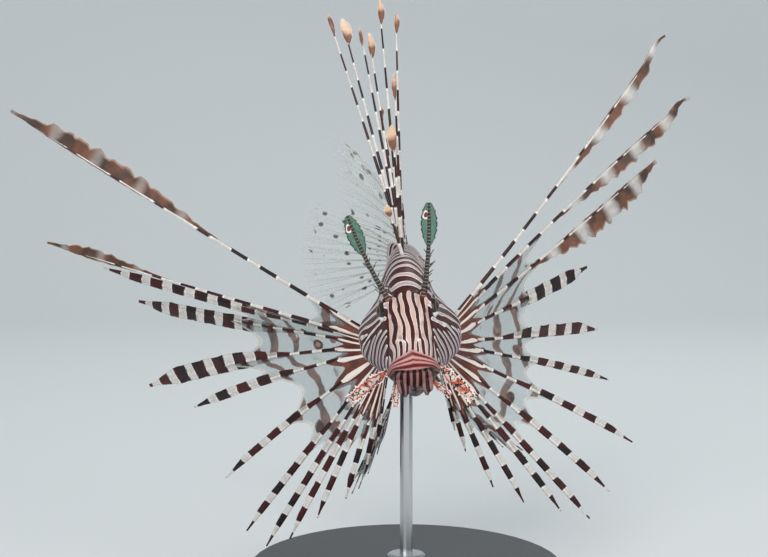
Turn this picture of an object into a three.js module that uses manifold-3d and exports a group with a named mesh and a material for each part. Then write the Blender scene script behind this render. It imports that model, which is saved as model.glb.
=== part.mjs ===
// A life-size red lionfish, swimming towards the viewer with its fins spread, on a display stand.
// Millimetres and degrees. +Z is up and the fish faces -Y. The origin is the middle of the underside
// of the stand's base. The fish is first made level in its own frame, where a place is given as
// (across, station, height): across grows towards the fish's left, station is the distance back from
// the tip of the snout along the body, and height is measured from the body's axis.

import * as THREE from "three";
import { mergeVertices } from "three/addons/utils/BufferGeometryUtils.js";
import Module from "manifold-3d";

const wasm = await Module();
wasm.setup();

// Driving dimensions
const standardLength = 190;
const axisHeight = 136;
const noseDown = 6;
const leanRight = 5.5;
const gap = 0.3;

// Display stand: an oval slab and one rod up to the belly
const base = { width: 150, length: 170, thickness: 12, bevel: 1.5, arcs: 22 };
const rod = { radius: 3, collarRadius: 9, collarHeight: 5, station: 86, above: 118, sides: 14 };

// Outline of the body, in per cent of the standard length: the height of the back and of the belly,
// the half width, the height of the widest point, and the exponents that round the section above
// and below it
const outline = [
  { at: 0.0, top: -4.4, bottom: -8.2, half: 1.8, widest: -6.4, upper: 1.9, lower: 1.8 },
  { at: 1.2, top: -1.6, bottom: -10.2, half: 3.7, widest: -6.2, upper: 1.9, lower: 1.7 },
  { at: 5.0, top: 3.0, bottom: -12.2, half: 5.2, widest: -5.8, upper: 1.9, lower: 1.6 },
  { at: 10.0, top: 7.2, bottom: -14.4, half: 6.2, widest: -5.2, upper: 1.9, lower: 1.6 },
  { at: 15.0, top: 10.2, bottom: -16.2, half: 6.7, widest: -5.0, upper: 2.0, lower: 1.6 },
  { at: 20.0, top: 12.4, bottom: -17.2, half: 6.9, widest: -5.0, upper: 2.1, lower: 1.6 },
  { at: 26.0, top: 14.0, bottom: -17.8, half: 6.8, widest: -5.0, upper: 2.15, lower: 1.6 },
  { at: 33.0, top: 14.6, bottom: -17.8, half: 6.6, widest: -4.8, upper: 2.15, lower: 1.65 },
  { at: 42.0, top: 14.3, bottom: -17.0, half: 6.2, widest: -3.4, upper: 2.1, lower: 1.8 },
  { at: 54.0, top: 12.8, bottom: -15.0, half: 5.7, widest: -1.6, upper: 2.0, lower: 1.9 },
  { at: 68.0, top: 10.4, bottom: -11.8, half: 4.9, widest: -0.6, upper: 1.9, lower: 1.9 },
  { at: 82.0, top: 7.6, bottom: -7.8, half: 3.8, widest: 0.0, upper: 1.9, lower: 1.9 },
  { at: 93.0, top: 5.6, bottom: -5.4, half: 2.4, widest: 0.2, upper: 1.9, lower: 1.9 },
  { at: 100.0, top: 5.4, bottom: -5.2, half: 1.8, widest: 0.2, upper: 2.0, lower: 2.0 },
];

// The cheeks and gill covers stand out from the section, from a station to another and between heights
const cheek = {
  out: 9.3, from: 12, full: 44, until: 60, gone: 104, top: 10, high: -7, low: -12, under: -27,
};
const bodyRings = { count: 28, crowding: 1.35, sides: 24 };

// The body bows a little to the fish's left, then the tail swings to the right and a little up
const bow = { from: 70, to: 158, angle: 4 };
const bend = { from: 146, to: 206, angle: 66, lift: 2 };

// Lines that part the head, jaw, trunk and tail, as station and height on the side view
const gillLine = [
  [48, 60], [50, 34], [55, 24], [62, 14], [66.5, 4], [67, -4], [63, -13], [54, -22], [45, -28], [38, -60],
];
const gillFlare = { from: 42, to: 60, rise: 1.1 };
const mouthLine = [[-20, -12.4], [1, -12.4], [8, -15.4], [16, -17.9], [25, -20.6]];
const jawBack = [[31, -27], [37, -60]];
const tailCut = 142;
const lips = {
  upper: { from: 25, to: 0.6, height: 4.4, fall: 0.25, least: 1.5, depth: 1.9, inset: 0.7, way: 1 },
  lower: { from: 22, to: 1.6, height: 1.6, fall: 0.05, least: 1, depth: 1.3, inset: 1.6, way: -1 },
};
const lipShape = { steps: 9, inside: 0.97, sides: 7, points: 18, cornerShare: 0.25, cornerDepth: 0.3 };
const chinLobe = {
  path: [[4.4, 6, -17], [4.7, 3.2, -20.4], [4.4, 2.4, -24]], radius: 2.3, taper: 0.7, steps: 3, sides: 6,
};

// Eyes with the direction that each looks in, their lids, the brow ridges and the nostrils
const eye = { across: 7.7, station: 26, height: 8.6, radius: 5.9, out: 0.96, ahead: 0.25, up: 0.1, arcs: 12 };
const lid = { ring: 5.2, tube: 1.25, sides: 6, arcs: 16 };
const brow = { radius: 2.3, path: [[3.6, 10, 5], [6.2, 18, 10.8], [8, 26, 14.8], [8.6, 36, 17.2]] };
const nostril = { across: 3.6, station: 6.5, height: 2.2, radius: 1.4, pit: 0.6, tall: 4, tilt: 60 };

// Tentacles over the eyes: a stalk with small branches and an upright leaf
const tentacle = {
  across: 6, station: 21, height: 10.5, length: 45, bow: 1.2, stalk: 1.1, steps: 10, sides: 6,
  leafHalf: 3.5, leafThick: 0.45, leafFrom: 0.55, lean: { left: 9, right: 20.5 }, leanAhead: 0.05,
};
// Its branches: where the first one starts, the step between them, and how far each stands off
const branch = {
  count: 3, from: 0.12, step: 0.09, length: 6, radius: 0.7, taper: 0.5, rise: 1.5, sides: 5,
  out: [0.9, -0.5], ahead: 0.2, up: 0.6,
};

// Fleshy flaps by the mouth: root, direction on each side, length and width
const mouthFlaps = [
  {
    name: "flap_lip", root: [11.6, 20.5, -16.6], length: 21, width: 5.6,
    to: { left: [0.62, 0.05, -0.78], right: [0.84, 0.05, -0.54] },
  },
  {
    name: "flap_chin", root: [8.2, 14, -21.6], length: 9, width: 3.4,
    to: { left: [0.7, -0.1, -0.7], right: [0.12, -0.15, -0.98] },
  },
];
const flapShape = {
  rows: 10, rib: 0.6, edge: 0.35, ruffle: 0.8, waves: 9, frill: 0.22, twists: 7, sweep: 1.2,
};

// Spines of the back from the front one to the rear one: length, slant to the rear, lean to the
// fish's left, and length of the skin leaf at the tip
const backSpines = {
  first: 57, spacing: 5.1, sunk: 6, rootRadius: 1.15, tipRadius: 0.3, leafHalf: 1.8, sides: 4, steps: 9,
  lengths: [23, 57, 79, 105, 112, 99, 104, 112, 119, 70, 54, 43, 45],
  slants: [-6, -4, -1, 3, 7, 11, 14, 17, 20, 25, 30, 34, 38],
  leans: [-11, 1, 3, 4, 0, -4, -6.5, -11, -14.5, -6, -4, -3, -2],
  leaves: [6, 12, 12, 9, 11, 12, 10, 13, 11, 6, 5, 4, 4],
};
const backWeb = { floor: 5, share: 0.09, sag: 0.62, rows: 3, half: 0.32 };

// Breast fins. Their rays start on a line inside the body and are measured from the line of the
// fin's root outside it. Each ray has its rise above level, slant to the rear and length, how far it
// bows up between its ends, the width of its vane above and below the shaft with the share of the
// length where the vane starts, and the share up to which the web joins it to the ray above.
const pectoral = {
  root: { from: [25, 71, -4], to: [17, 59, -29] },
  inner: { from: [15, 70, -12], to: [12, 58, -25] },
  rows: 10, curl: 0.1, shaftRoot: 1.2, shaftTip: 0.4, web: 0.3, flesh: 2.5, footLength: 32, footMost: 0.6,
  shape: { least: 0.45, closed: 0.12, opens: 0.3, pointFrom: 0.82, point: 0.7 },
};
const pectoralRays = {
  right: [
    { rise: 35.7, slant: 5, length: 186, bow: 0, above: 7.4, below: 0.9, vane: 0.4, web: 0 },
    { rise: 13.9, slant: 26, length: 177, bow: 0, above: 5, below: 1.4, vane: 0.58, web: 0.2 },
    { rise: 9.5, slant: 36, length: 164, bow: 0, above: 2.2, below: 2.4, vane: 0.2, web: 0.5 },
    { rise: 1.6, slant: 42, length: 157, bow: 0, above: 2.8, below: 4.4, vane: 0.25, web: 0.58 },
    { rise: -17, slant: 34, length: 142, bow: 5, above: 5.4, below: 3.6, vane: 0.3, web: 0.6 },
    { rise: -23.3, slant: 28, length: 108, bow: 3, above: 2.8, below: 2, vane: 0.3, web: 0.66 },
    { rise: -41.6, slant: 14, length: 101, bow: 2, above: 2.6, below: 0.8, vane: 0.25, web: 0.56 },
    { rise: -52.8, slant: 6, length: 109, bow: 0, above: 2.5, below: 0.8, vane: 0.25, web: 0.58 },
    { rise: -57.5, slant: 0, length: 105, bow: 0, above: 2.3, below: 0.8, vane: 0.2, web: 0.58 },
    { rise: -61, slant: -4, length: 93, bow: 0, above: 2.2, below: 0.8, vane: 0.2, web: 0.58 },
    { rise: -65.5, slant: -4, length: 77, bow: 0, above: 2, below: 0.8, vane: 0.2, web: 0.6 },
    { rise: -73.1, slant: -2, length: 63, bow: 0, above: 1.8, below: 0.8, vane: 0.1, web: 0.62 },
    { rise: -79.6, slant: 4, length: 47, bow: 0, above: 1.5, below: 0.8, vane: 0.1, web: 0.66 },
    { rise: -85.9, slant: 10, length: 32, bow: 0, above: 1.2, below: 0.8, vane: 0.1, web: 0.7 },
  ],
  left: [
    { rise: 46.5, slant: 10, length: 159, bow: -2, above: 0.9, below: 4.6, vane: 0.45, web: 0 },
    { rise: 32.1, slant: 28, length: 171, bow: 4, above: 0.9, below: 6.2, vane: 0.4, web: 0.2 },
    { rise: 24.5, slant: 38, length: 155, bow: -1, above: 1.2, below: 9, vane: 0.35, web: 0.42 },
    { rise: 2.7, slant: 50, length: 110, bow: 0, above: 3.2, below: 3.8, vane: 0.3, web: 0.58 },
    { rise: -20.3, slant: 46, length: 113, bow: 0, above: 5.2, below: 1, vane: 0.3, web: 0.62 },
    { rise: -32.1, slant: 36, length: 111, bow: 2, above: 2.6, below: 1.2, vane: 0.3, web: 0.62 },
    { rise: -40.1, slant: 16, length: 111, bow: 2, above: 2.6, below: 0.8, vane: 0.25, web: 0.56 },
    { rise: -51.4, slant: 6, length: 108, bow: 2, above: 2.5, below: 0.8, vane: 0.25, web: 0.58 },
    { rise: -58.2, slant: 0, length: 106, bow: 0, above: 2.3, below: 0.8, vane: 0.2, web: 0.58 },
    { rise: -62, slant: -4, length: 91, bow: 0, above: 2.2, below: 0.8, vane: 0.2, web: 0.58 },
    { rise: -69.9, slant: -4, length: 77, bow: 0, above: 2, below: 0.8, vane: 0.2, web: 0.6 },
    { rise: -77.7, slant: -2, length: 63, bow: 0, above: 1.8, below: 0.8, vane: 0.1, web: 0.62 },
    { rise: -86, slant: 4, length: 42, bow: 0, above: 1.5, below: 0.8, vane: 0.1, web: 0.66 },
    { rise: -91, slant: 10, length: 30, bow: 0, above: 1.2, below: 0.8, vane: 0.1, web: 0.7 },
  ],
};

// Belly fins: the rise and slant of the leading and the last ray
const pelvic = {
  root: { from: [5.0, 66, -30], to: [7.0, 76, -29] }, rows: 7, web: 0.93, curl: 0.1,
  rise: { left: [-47, -62], right: [-62, -76] }, slant: [10, 30], lengths: [64, 71, 71, 65, 56, 46],
  vane: 1.3, shape: { least: 0.3, closed: 0.35, opens: 0.5, pointFrom: 0.85, point: 0.6 },
  shaftRoot: 0.8, shaftTip: 0.35,
};

// Soft back fin, vent fin and tail fin
const softDorsal = {
  from: 125, to: 160, sign: 1, rows: 6, slant: [18, 58], web: 0.9, lean: 30, sunk: 6,
  lengths: [48, 58, 66, 69, 68, 64, 58, 51, 44, 36, 28],
};
const anal = {
  from: 122, to: 158, sign: -1, rows: 5, slant: [24, 66], web: 0.9, lean: 6, sunk: 5,
  lengths: [20, 29, 38, 46, 48, 46, 42, 37, 31, 25],
};
const caudal = {
  station: 185, rays: 11, rows: 7, spread: 25, rootHalf: 7.5, length: 60, roundness: 0.1, web: 0.94,
};
const softRay = { vane: 0.9, narrow: 0.4, shaftRoot: 0.75, shaftTip: 0.4, web: 0.28 };

// A paired fin's web is drawn in at the middle of its free edge by this share of a row
const webNotch = 0.7;
// The points of a fin's rays lie a little closer near the root
const rowCrowding = 1.15;

// How far the blocks that part the flesh reach past it
const far = { ahead: -40, behind: 300, off: 60 };

// Small helpers
const vector = (x, y, z) => new THREE.Vector3(x, y, z);
const radians = THREE.MathUtils.degToRad;
const mix = THREE.MathUtils.lerp;
const clamp = THREE.MathUtils.clamp;
const smoothstep = (from, to, value) => THREE.MathUtils.smoothstep(value, from, to);
const countTo = (count, make) => Array.from({ length: count }, (unused, i) => make(i));
const sides = { left: 1, right: -1 };

// Value of one column of a table at a station, on a smooth cubic through the rows
function along(table, key, at) {
  const last = table.length - 1;
  let i = 0;
  while (i < last - 1 && at > table[i + 1].at) i += 1;
  const slope = (k) => {
    const a = table[Math.max(k - 1, 0)];
    const b = table[Math.min(k + 1, last)];
    return (b[key] - a[key]) / (b.at - a.at);
  };
  const width = table[i + 1].at - table[i].at;
  const t = clamp((at - table[i].at) / width, 0, 1);
  const rise = (table[i + 1][key] - table[i][key]) * t * t * (3 - 2 * t);
  const leaving = slope(i) * width * t * (1 - t) ** 2;
  const arriving = slope(i + 1) * width * t * t * (1 - t);
  return table[i][key] + rise + leaving - arriving;
}

// Middle line of the bent body, a step for each millimetre
const middleLine = [{ x: 0, y: 0, turn: 0 }];
for (let station = 1; station <= standardLength + caudal.length + 20; station += 1) {
  const before = middleLine[station - 1];
  const swing = clamp((station - bend.from) / (bend.to - bend.from), 0, 1) ** 2;
  const counter = Math.sin(Math.PI * clamp((station - bow.from) / (bow.to - bow.from), 0, 1));
  const turn = radians(bend.angle * swing - bow.angle * counter);
  middleLine.push({ x: before.x - Math.sin(turn), y: before.y + Math.cos(turn), turn });
}

// The place (across, station, height) as a point of the fish's frame
function onBody(across, station, height) {
  const at = clamp(station, 0, middleLine.length - 2);
  const a = middleLine[Math.floor(at)];
  const b = middleLine[Math.floor(at) + 1];
  const t = at - Math.floor(at);
  const turn = mix(a.turn, b.turn, t);
  return vector(
    mix(a.x, b.x, t) + across * Math.cos(turn),
    mix(a.y, b.y, t) + across * Math.sin(turn) + Math.min(station, 0),
    height + bend.lift * smoothstep(bend.from, bend.to, station),
  );
}

// The body's section at a station, in millimetres
function sectionAt(station) {
  const unit = standardLength / 100;
  const value = (key) => along(outline, key, station / unit);
  return {
    top: value("top") * unit,
    bottom: value("bottom") * unit,
    half: value("half") * unit,
    widest: value("widest") * unit,
    upper: value("upper"),
    lower: value("lower"),
  };
}

// How far the cheeks and gill covers stand out at a station and height
function cheekAt(station, height) {
  const front = smoothstep(cheek.from, cheek.full, station);
  const rear = 1 - smoothstep(cheek.until, cheek.gone, station);
  const high = 1 - smoothstep(cheek.high, cheek.top, height);
  const low = smoothstep(cheek.under, cheek.low, height);
  return cheek.out * front * rear * high * low;
}

// Half width of the body at a station and height
function halfWidthAt(station, height) {
  const s = sectionAt(station);
  const up = height > s.widest;
  const reach = up ? s.top - s.widest : s.widest - s.bottom;
  const exponent = up ? s.upper : s.lower;
  const share = clamp(Math.abs(height - s.widest) / reach, 0, 1);
  return s.half * (1 - share ** exponent) ** (1 / exponent) + cheekAt(station, height);
}

// An indexed geometry with its faces turned outwards
function closedGeometry(points, triangles) {
  let volume = 0;
  for (const [a, b, c] of triangles) {
    volume += points[a].dot(vector(0, 0, 0).crossVectors(points[b], points[c]));
  }
  const places = points.flatMap((p) => p.toArray());
  const geometry = new THREE.BufferGeometry();
  geometry.setAttribute("position", new THREE.Float32BufferAttribute(places, 3));
  geometry.setIndex(triangles.flatMap(([a, b, c]) => (volume > 0 ? [a, b, c] : [a, c, b])));
  return geometry;
}

// Rings of equal count joined into a closed skin, each end closed to the middle of its ring
function loft(rings) {
  const count = rings[0].length;
  const points = rings.flat();
  const triangles = [];
  for (let r = 0; r < rings.length - 1; r += 1) {
    for (let k = 0; k < count; k += 1) {
      const a = r * count + k;
      const b = r * count + ((k + 1) % count);
      triangles.push([a, b, b + count], [a, b + count, a + count]);
    }
  }
  for (const end of [0, rings.length - 1]) {
    const centre = vector(0, 0, 0);
    rings[end].forEach((p) => centre.addScaledVector(p, 1 / count));
    points.push(centre);
    for (let k = 0; k < count; k += 1) {
      const a = end * count + k;
      const b = end * count + ((k + 1) % count);
      triangles.push(end === 0 ? [points.length - 1, b, a] : [points.length - 1, a, b]);
    }
  }
  return closedGeometry(points, triangles);
}

function toSolid(geometry) {
  const bare = geometry.clone();
  bare.deleteAttribute("normal");
  bare.deleteAttribute("uv");
  const plain = mergeVertices(bare, 1e-4);
  return new wasm.Manifold(new wasm.Mesh({
    numProp: 3,
    vertProperties: new Float32Array(plain.attributes.position.array),
    triVerts: new Uint32Array(plain.index.array),
  }));
}

// The largest closed surface of a solid, as a geometry
function toGeometry(solid) {
  const pieces = solid.decompose().sort((a, b) => b.volume() - a.volume());
  const mesh = pieces[0].getMesh();
  const geometry = new THREE.BufferGeometry();
  geometry.setAttribute("position", new THREE.Float32BufferAttribute(mesh.vertProperties, 3));
  geometry.setIndex(Array.from(mesh.triVerts));
  return geometry;
}

// A tube of oval section along points. size(t, p) gives its half width and half thickness at a share
// of its length and a point, and facing is the direction that its thickness lies nearest to.
function taperedTube(path, size, sideCount, facing) {
  const last = path.length - 1;
  return loft(path.map((p, i) => {
    const tangent = path[Math.min(i + 1, last)].clone().sub(path[Math.max(i - 1, 0)]).normalize();
    const wide = vector(0, 0, 0).crossVectors(tangent, facing).normalize();
    const thick = vector(0, 0, 0).crossVectors(wide, tangent).normalize();
    const [halfWidth, halfThickness] = size(i / last, p);
    return countTo(sideCount, (k) => {
      const angle = (2 * Math.PI * (k + 0.5)) / sideCount;
      return p.clone()
        .addScaledVector(wide, halfWidth * Math.cos(angle))
        .addScaledVector(thick, halfThickness * Math.sin(angle));
    });
  }));
}

function curvePoints(places, count) {
  return new THREE.CatmullRomCurve3(places.map((p) => vector(...p))).getPoints(count);
}

// A block across the whole fish over an outline given as station and height
function sideBlock(places) {
  const halfWidth = 80;
  const shape = new THREE.Shape(places.map((place) => new THREE.Vector2(...place)));
  const geometry = new THREE.ExtrudeGeometry(shape, { depth: 2 * halfWidth, bevelEnabled: false });
  geometry.translate(0, 0, -halfWidth);
  geometry.applyMatrix4(new THREE.Matrix4().set(0, 0, 1, 0, 1, 0, 0, 0, 0, 1, 0, 0, 0, 0, 0, 1));
  return toSolid(geometry);
}

// The blocks ahead of a line and behind it, where the line runs from above the fish to below it
function aheadOf(line) {
  return sideBlock([[far.ahead, -far.off], [far.ahead, far.off], ...line]);
}

function behind(line) {
  return sideBlock([...line, [far.behind, -far.off], [far.behind, far.off]]);
}

function shifted(places, stationShift, heightShift) {
  return places.map(([station, height]) => [station + stationShift, height + heightShift]);
}

// A thin sheet on columns of { at, normal, half }. cells(c, r) says whether the cell above row r and
// right of column c is there. Both faces are split alike.
function sheetGeometry(columns, cells) {
  const rows = columns[0].length;
  const points = [];
  const numbers = new Map();
  const number = (c, r, face) => {
    const key = `${c} ${r} ${face}`;
    if (!numbers.has(key)) {
      const { at, normal, half } = columns[c][r];
      numbers.set(key, points.length);
      points.push(at.clone().addScaledVector(normal, half * face));
    }
    return numbers.get(key);
  };
  const filled = (c, r) => c >= 0 && r >= 0 && c < columns.length - 1 && r < rows - 1 && cells(c, r);
  const triangles = [];
  const wall = (c0, r0, c1, r1) => {
    const [a, b, d, e] = [number(c0, r0, 1), number(c1, r1, 1), number(c0, r0, -1), number(c1, r1, -1)];
    triangles.push([b, a, d], [b, d, e]);
  };
  for (let c = 0; c < columns.length - 1; c += 1) {
    for (let r = 0; r < rows - 1; r += 1) {
      if (!filled(c, r)) continue;
      const corners = [[c, r], [c + 1, r], [c + 1, r + 1], [c, r + 1]];
      const [a, b, d, e] = corners.map(([column, row]) => number(column, row, 1));
      const [f, g, h, i] = corners.map(([column, row]) => number(column, row, -1));
      triangles.push([a, b, d], [a, d, e], [f, h, g], [f, i, h]);
      if (!filled(c, r - 1)) wall(c, r, c + 1, r);
      if (!filled(c + 1, r)) wall(c + 1, r, c + 1, r + 1);
      if (!filled(c, r + 1)) wall(c + 1, r + 1, c, r + 1);
      if (!filled(c - 1, r)) wall(c, r + 1, c, r);
    }
  }
  return closedGeometry(points, triangles);
}

// A fin from its rays. A ray has at(t), its vane's widths above(t) and below(t), and web, the share
// of its length up to which the web joins it to the ray before. thickness(t, ray) gives the half
// thickness of the web and of the shaft. A paired fin has vanes that stand square to the fish's
// length, and a row of points between each two rays, because its web is notched.
function finGeometry(rays, rows, thickness, paired) {
  const columns = [];
  const cellRows = [];
  rays.forEach((ray, i) => {
    const before = rays[Math.max(i - 1, 0)];
    const after = rays[Math.min(i + 1, rays.length - 1)];
    const frames = countTo(rows + 1, (r) => {
      const t = (r / rows) ** rowCrowding;
      const tangent = ray.at(Math.min(t + 0.02, 1)).sub(ray.at(Math.max(t - 0.02, 0))).normalize();
      const across = after.at(t).sub(before.at(t));
      if (paired) {
        const square = vector(0, 0, 0).crossVectors(tangent, vector(0, 1, 0));
        across.copy(square.multiplyScalar(Math.sign(square.dot(across))));
      }
      across.addScaledVector(tangent, -across.dot(tangent)).normalize();
      return { t, at: ray.at(t), across, normal: vector(0, 0, 0).crossVectors(tangent, across) };
    });
    const edge = (width, way) => frames.map(({ t, at, across, normal }) => {
      return { at: at.clone().addScaledVector(across, way * width(t)), normal, half: thickness(t, ray).web };
    });
    const upper = edge(ray.above, -1);
    if (i > 0) {
      const stop = Math.max(1, Math.round(rows * ray.web ** (1 / rowCrowding)));
      if (paired) {
        columns.push(webMiddle(columns[columns.length - 1], upper, stop));
        cellRows.push(stop);
      }
      cellRows.push(stop);
    }
    const shaft = frames.map(({ t, at, normal }) => ({ at, normal, half: thickness(t, ray).shaft }));
    columns.push(upper, shaft, edge(ray.below, 1));
    cellRows.push(rows, rows);
  });
  return sheetGeometry(columns, (c, r) => r < cellRows[c]);
}

// The middle of the web between two rays, with its free edge drawn in
function webMiddle(one, other, stop) {
  const between = (r) => one[r].at.clone().lerp(other[r].at, 0.5);
  return one.map((p, r) => {
    const at = between(r);
    if (r === stop) at.lerp(between(r - 1), webNotch);
    const normal = p.normal.clone().add(other[r].normal).normalize();
    return { at, normal, half: (p.half + other[r].half) / 2 };
  });
}

// The whole body as one skin, stood off by grow, with or without the flare of the gill covers
function bodySolid(grow, flared) {
  const rings = countTo(bodyRings.count + 1, (i) => {
    const station = standardLength * (i / bodyRings.count) ** bodyRings.crowding;
    const s = sectionAt(station);
    const flare = flared ? gillFlare.rise * smoothstep(gillFlare.from, gillFlare.to, station) : 0;
    const end = i === 0 ? -grow : i === bodyRings.count ? grow : 0;
    return countTo(bodyRings.sides, (k) => {
      const angle = (2 * Math.PI * (k + 0.5)) / bodyRings.sides;
      const [c, v] = [Math.cos(angle), Math.sin(angle)];
      const exponent = 2 / (v > 0 ? s.upper : s.lower);
      const reach = grow + (v > 0 ? s.top - s.widest : s.widest - s.bottom);
      const height = s.widest + Math.sign(v) * reach * Math.abs(v) ** exponent;
      const out = cheekAt(station, height) * smoothstep(0, 0.3, Math.abs(c));
      const across = (s.half + grow + flare) * Math.abs(c) ** exponent + out;
      return onBody(Math.sign(c) * across, station + end, height);
    });
  });
  return toSolid(loft(rings));
}

// A lip that follows the mouth line round the snout, lower towards the corners of the mouth
function lipSolid(lip, grow) {
  const line = mouthLine.map(([at, height]) => ({ at, height }));
  const halfHeight = (across) => Math.max(lip.height - lip.fall * Math.abs(across), lip.least);
  const side = countTo(lipShape.steps + 1, (i) => {
    const station = mix(lip.from, lip.to, i / lipShape.steps);
    const level = along(line, "height", station);
    const across = halfWidthAt(station, level + 2 * lip.way) * lipShape.inside;
    return [across, station + lip.inset, level + lip.way * halfHeight(across)];
  });
  const front = side[side.length - 1];
  const middle = [0, front[1], front[2] + lip.way * (lip.height - halfHeight(front[0]))];
  const other = side.map(([across, station, height]) => [-across, station, height]).reverse();
  const size = (t, p) => {
    const swell = mix(lipShape.cornerDepth, 1, smoothstep(0, lipShape.cornerShare, Math.min(t, 1 - t)));
    return [lip.depth * swell + grow, halfHeight(p.x) + grow];
  };
  const path = curvePoints([...side, middle, ...other], lipShape.points);
  return toSolid(taperedTube(path, size, lipShape.sides, vector(0, 0, 1)));
}

function chinLobeSolid(side) {
  const path = curvePoints(chinLobe.path.map(([x, y, z]) => [side * x, y, z]), chinLobe.steps);
  const size = (t) => {
    const radius = chinLobe.radius * mix(1, chinLobe.taper, t);
    return [radius, radius];
  };
  return toSolid(taperedTube(path, size, chinLobe.sides, vector(0, -1, 0)));
}

function eyeCentre(side) {
  return vector(side * eye.across, eye.station, eye.height);
}

function eyeBall(side, grow) {
  const ball = new THREE.SphereGeometry(eye.radius + grow, eye.arcs, Math.round(eye.arcs * 0.7));
  return ball.translate(...eyeCentre(side).toArray());
}

function lidSolid(side, grow) {
  const look = vector(side * eye.out, -eye.ahead, eye.up).normalize();
  const turn = new THREE.Quaternion().setFromUnitVectors(vector(0, 0, 1), look);
  const out = Math.sqrt(eye.radius ** 2 - lid.ring ** 2);
  const ring = new THREE.TorusGeometry(lid.ring, lid.tube + grow, lid.sides, lid.arcs);
  ring.applyQuaternion(turn);
  ring.translate(...eyeCentre(side).addScaledVector(look, out).toArray());
  return toSolid(ring);
}

function browSolid(side, grow) {
  const path = curvePoints(brow.path.map(([x, y, z]) => [side * x, y, z]), 6);
  const size = (t) => {
    const radius = brow.radius * mix(0.6, 1, Math.sin(Math.PI * t)) + grow;
    return [radius, radius];
  };
  return toSolid(taperedTube(path, size, 6, vector(0, 0, 1)));
}

function nostrilSolid(side, radius, from, to) {
  const tube = new THREE.CylinderGeometry(radius, radius, to - from, 6);
  tube.translate(0, (to + from) / 2, 0);
  tube.rotateX(radians(nostril.tilt));
  tube.translate(side * nostril.across, nostril.station, nostril.height);
  return toSolid(tube);
}

// All that is raised on the head, stood off by grow
function headForms(grow) {
  const region = aheadOf(shifted(gillLine, grow, 0));
  let forms = bodySolid(grow, true).intersect(region).add(lipSolid(lips.upper, grow));
  for (const side of Object.values(sides)) {
    forms = forms.add(lidSolid(side, grow)).add(browSolid(side, grow));
    forms = forms.add(nostrilSolid(side, nostril.radius + grow, 0, nostril.tall / 2 + grow));
  }
  return forms;
}

// The flesh, in the parts that a person would name
function fleshParts() {
  const tailLine = [[tailCut, far.off], [tailCut, -far.off]];
  const jawRegion = sideBlock([...mouthLine, ...jawBack, [-20, -60]]);
  const inner = [...shifted(mouthLine, 0, -gap), ...shifted(jawBack, -gap, 0), [-20, -60]];
  let head = headForms(0).subtract(jawRegion);
  for (const side of Object.values(sides)) {
    head = head.subtract(toSolid(eyeBall(side, gap)));
    head = head.subtract(nostrilSolid(side, nostril.pit, nostril.tall / 4, nostril.tall));
  }
  const body = bodySolid(0, false);
  let jaw = body.intersect(aheadOf(gillLine)).add(lipSolid(lips.lower, 0));
  for (const side of Object.values(sides)) jaw = jaw.add(chinLobeSolid(side));
  jaw = jaw.intersect(sideBlock(inner));
  const rest = body.intersect(behind(shifted(gillLine, gap, 0)));
  const trunk = rest.intersect(aheadOf(tailLine));
  const tail = rest.intersect(behind(shifted(tailLine, gap, 0)));
  return { head, jaw, trunk, tail };
}

// The flesh stood off by the gap, from which what grows on it is cut clear
const fleshClearance = headForms(gap).add(lipSolid(lips.lower, gap)).add(bodySolid(gap, false));

// A tentacle over an eye
function tentacleSolid(side, lean) {
  const root = vector(side * tentacle.across, tentacle.station, tentacle.height);
  const up = vector(side * Math.sin(radians(lean)), -tentacle.leanAhead, Math.cos(radians(lean))).normalize();
  const at = (t) => root.clone()
    .addScaledVector(up, tentacle.length * t)
    .addScaledVector(vector(side, 0, 0), tentacle.bow * Math.sin(Math.PI * t));
  const size = (t) => {
    const share = clamp((t - tentacle.leafFrom) / (1 - tentacle.leafFrom), 0, 1);
    const leaf = Math.sin(Math.PI * share * 0.96) ** 0.6;
    const stalk = tentacle.stalk * mix(1.3, 0.7, t);
    return [Math.max(stalk, tentacle.leafHalf * leaf), mix(stalk, tentacle.leafThick, leaf)];
  };
  const path = countTo(tentacle.steps, (i) => at(i / (tentacle.steps - 1)));
  let solid = toSolid(taperedTube(path, size, tentacle.sides, vector(0, -1, 0)));
  for (let i = 0; i < branch.count; i += 1) {
    const start = at(branch.from + branch.step * i);
    const out = vector(side * branch.out[i % 2], -branch.ahead, branch.up).normalize();
    const twig = [0, 0.5, 1].map((t) => start.clone()
      .addScaledVector(out, branch.length * t)
      .addScaledVector(vector(0, 0, 1), branch.rise * t * t));
    const taper = (t) => {
      const radius = branch.radius * mix(1, branch.taper, t);
      return [radius, radius];
    };
    solid = solid.add(toSolid(taperedTube(twig, taper, branch.sides, vector(0, -1, 0))));
  }
  return solid.subtract(fleshClearance);
}

// A ruffled flap of skin by the mouth
function flapSolid(sideName, flap) {
  const side = sides[sideName];
  const [across, back, up] = flap.to[sideName];
  const root = vector(side * flap.root[0], flap.root[1], flap.root[2]);
  const to = vector(side * across, back, up).normalize();
  const wide = vector(0, 0, 0).crossVectors(to, vector(0, -1, 0)).normalize();
  const normal = vector(0, 0, 0).crossVectors(wide, to).normalize();
  const columns = [-1, 0, 1].map((edge) => countTo(flapShape.rows + 1, (r) => {
    const t = r / flapShape.rows;
    const swell = 0.5 + 0.5 * Math.sin(Math.PI * clamp(1.15 * t - 0.1, 0, 0.92));
    const frill = 1 + flapShape.frill * Math.sin(flapShape.waves * t + 2 * edge);
    const lift = edge * flapShape.ruffle * Math.sin(flapShape.twists * t + edge);
    const at = root.clone()
      .addScaledVector(to, flap.length * t)
      .addScaledVector(wide, edge * (flap.width / 2) * swell * frill)
      .addScaledVector(normal, lift - flapShape.sweep * t * t);
    return { at, normal, half: edge === 0 ? flapShape.rib : flapShape.edge };
  }));
  return toSolid(sheetGeometry(columns, () => true)).subtract(fleshClearance);
}

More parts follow.
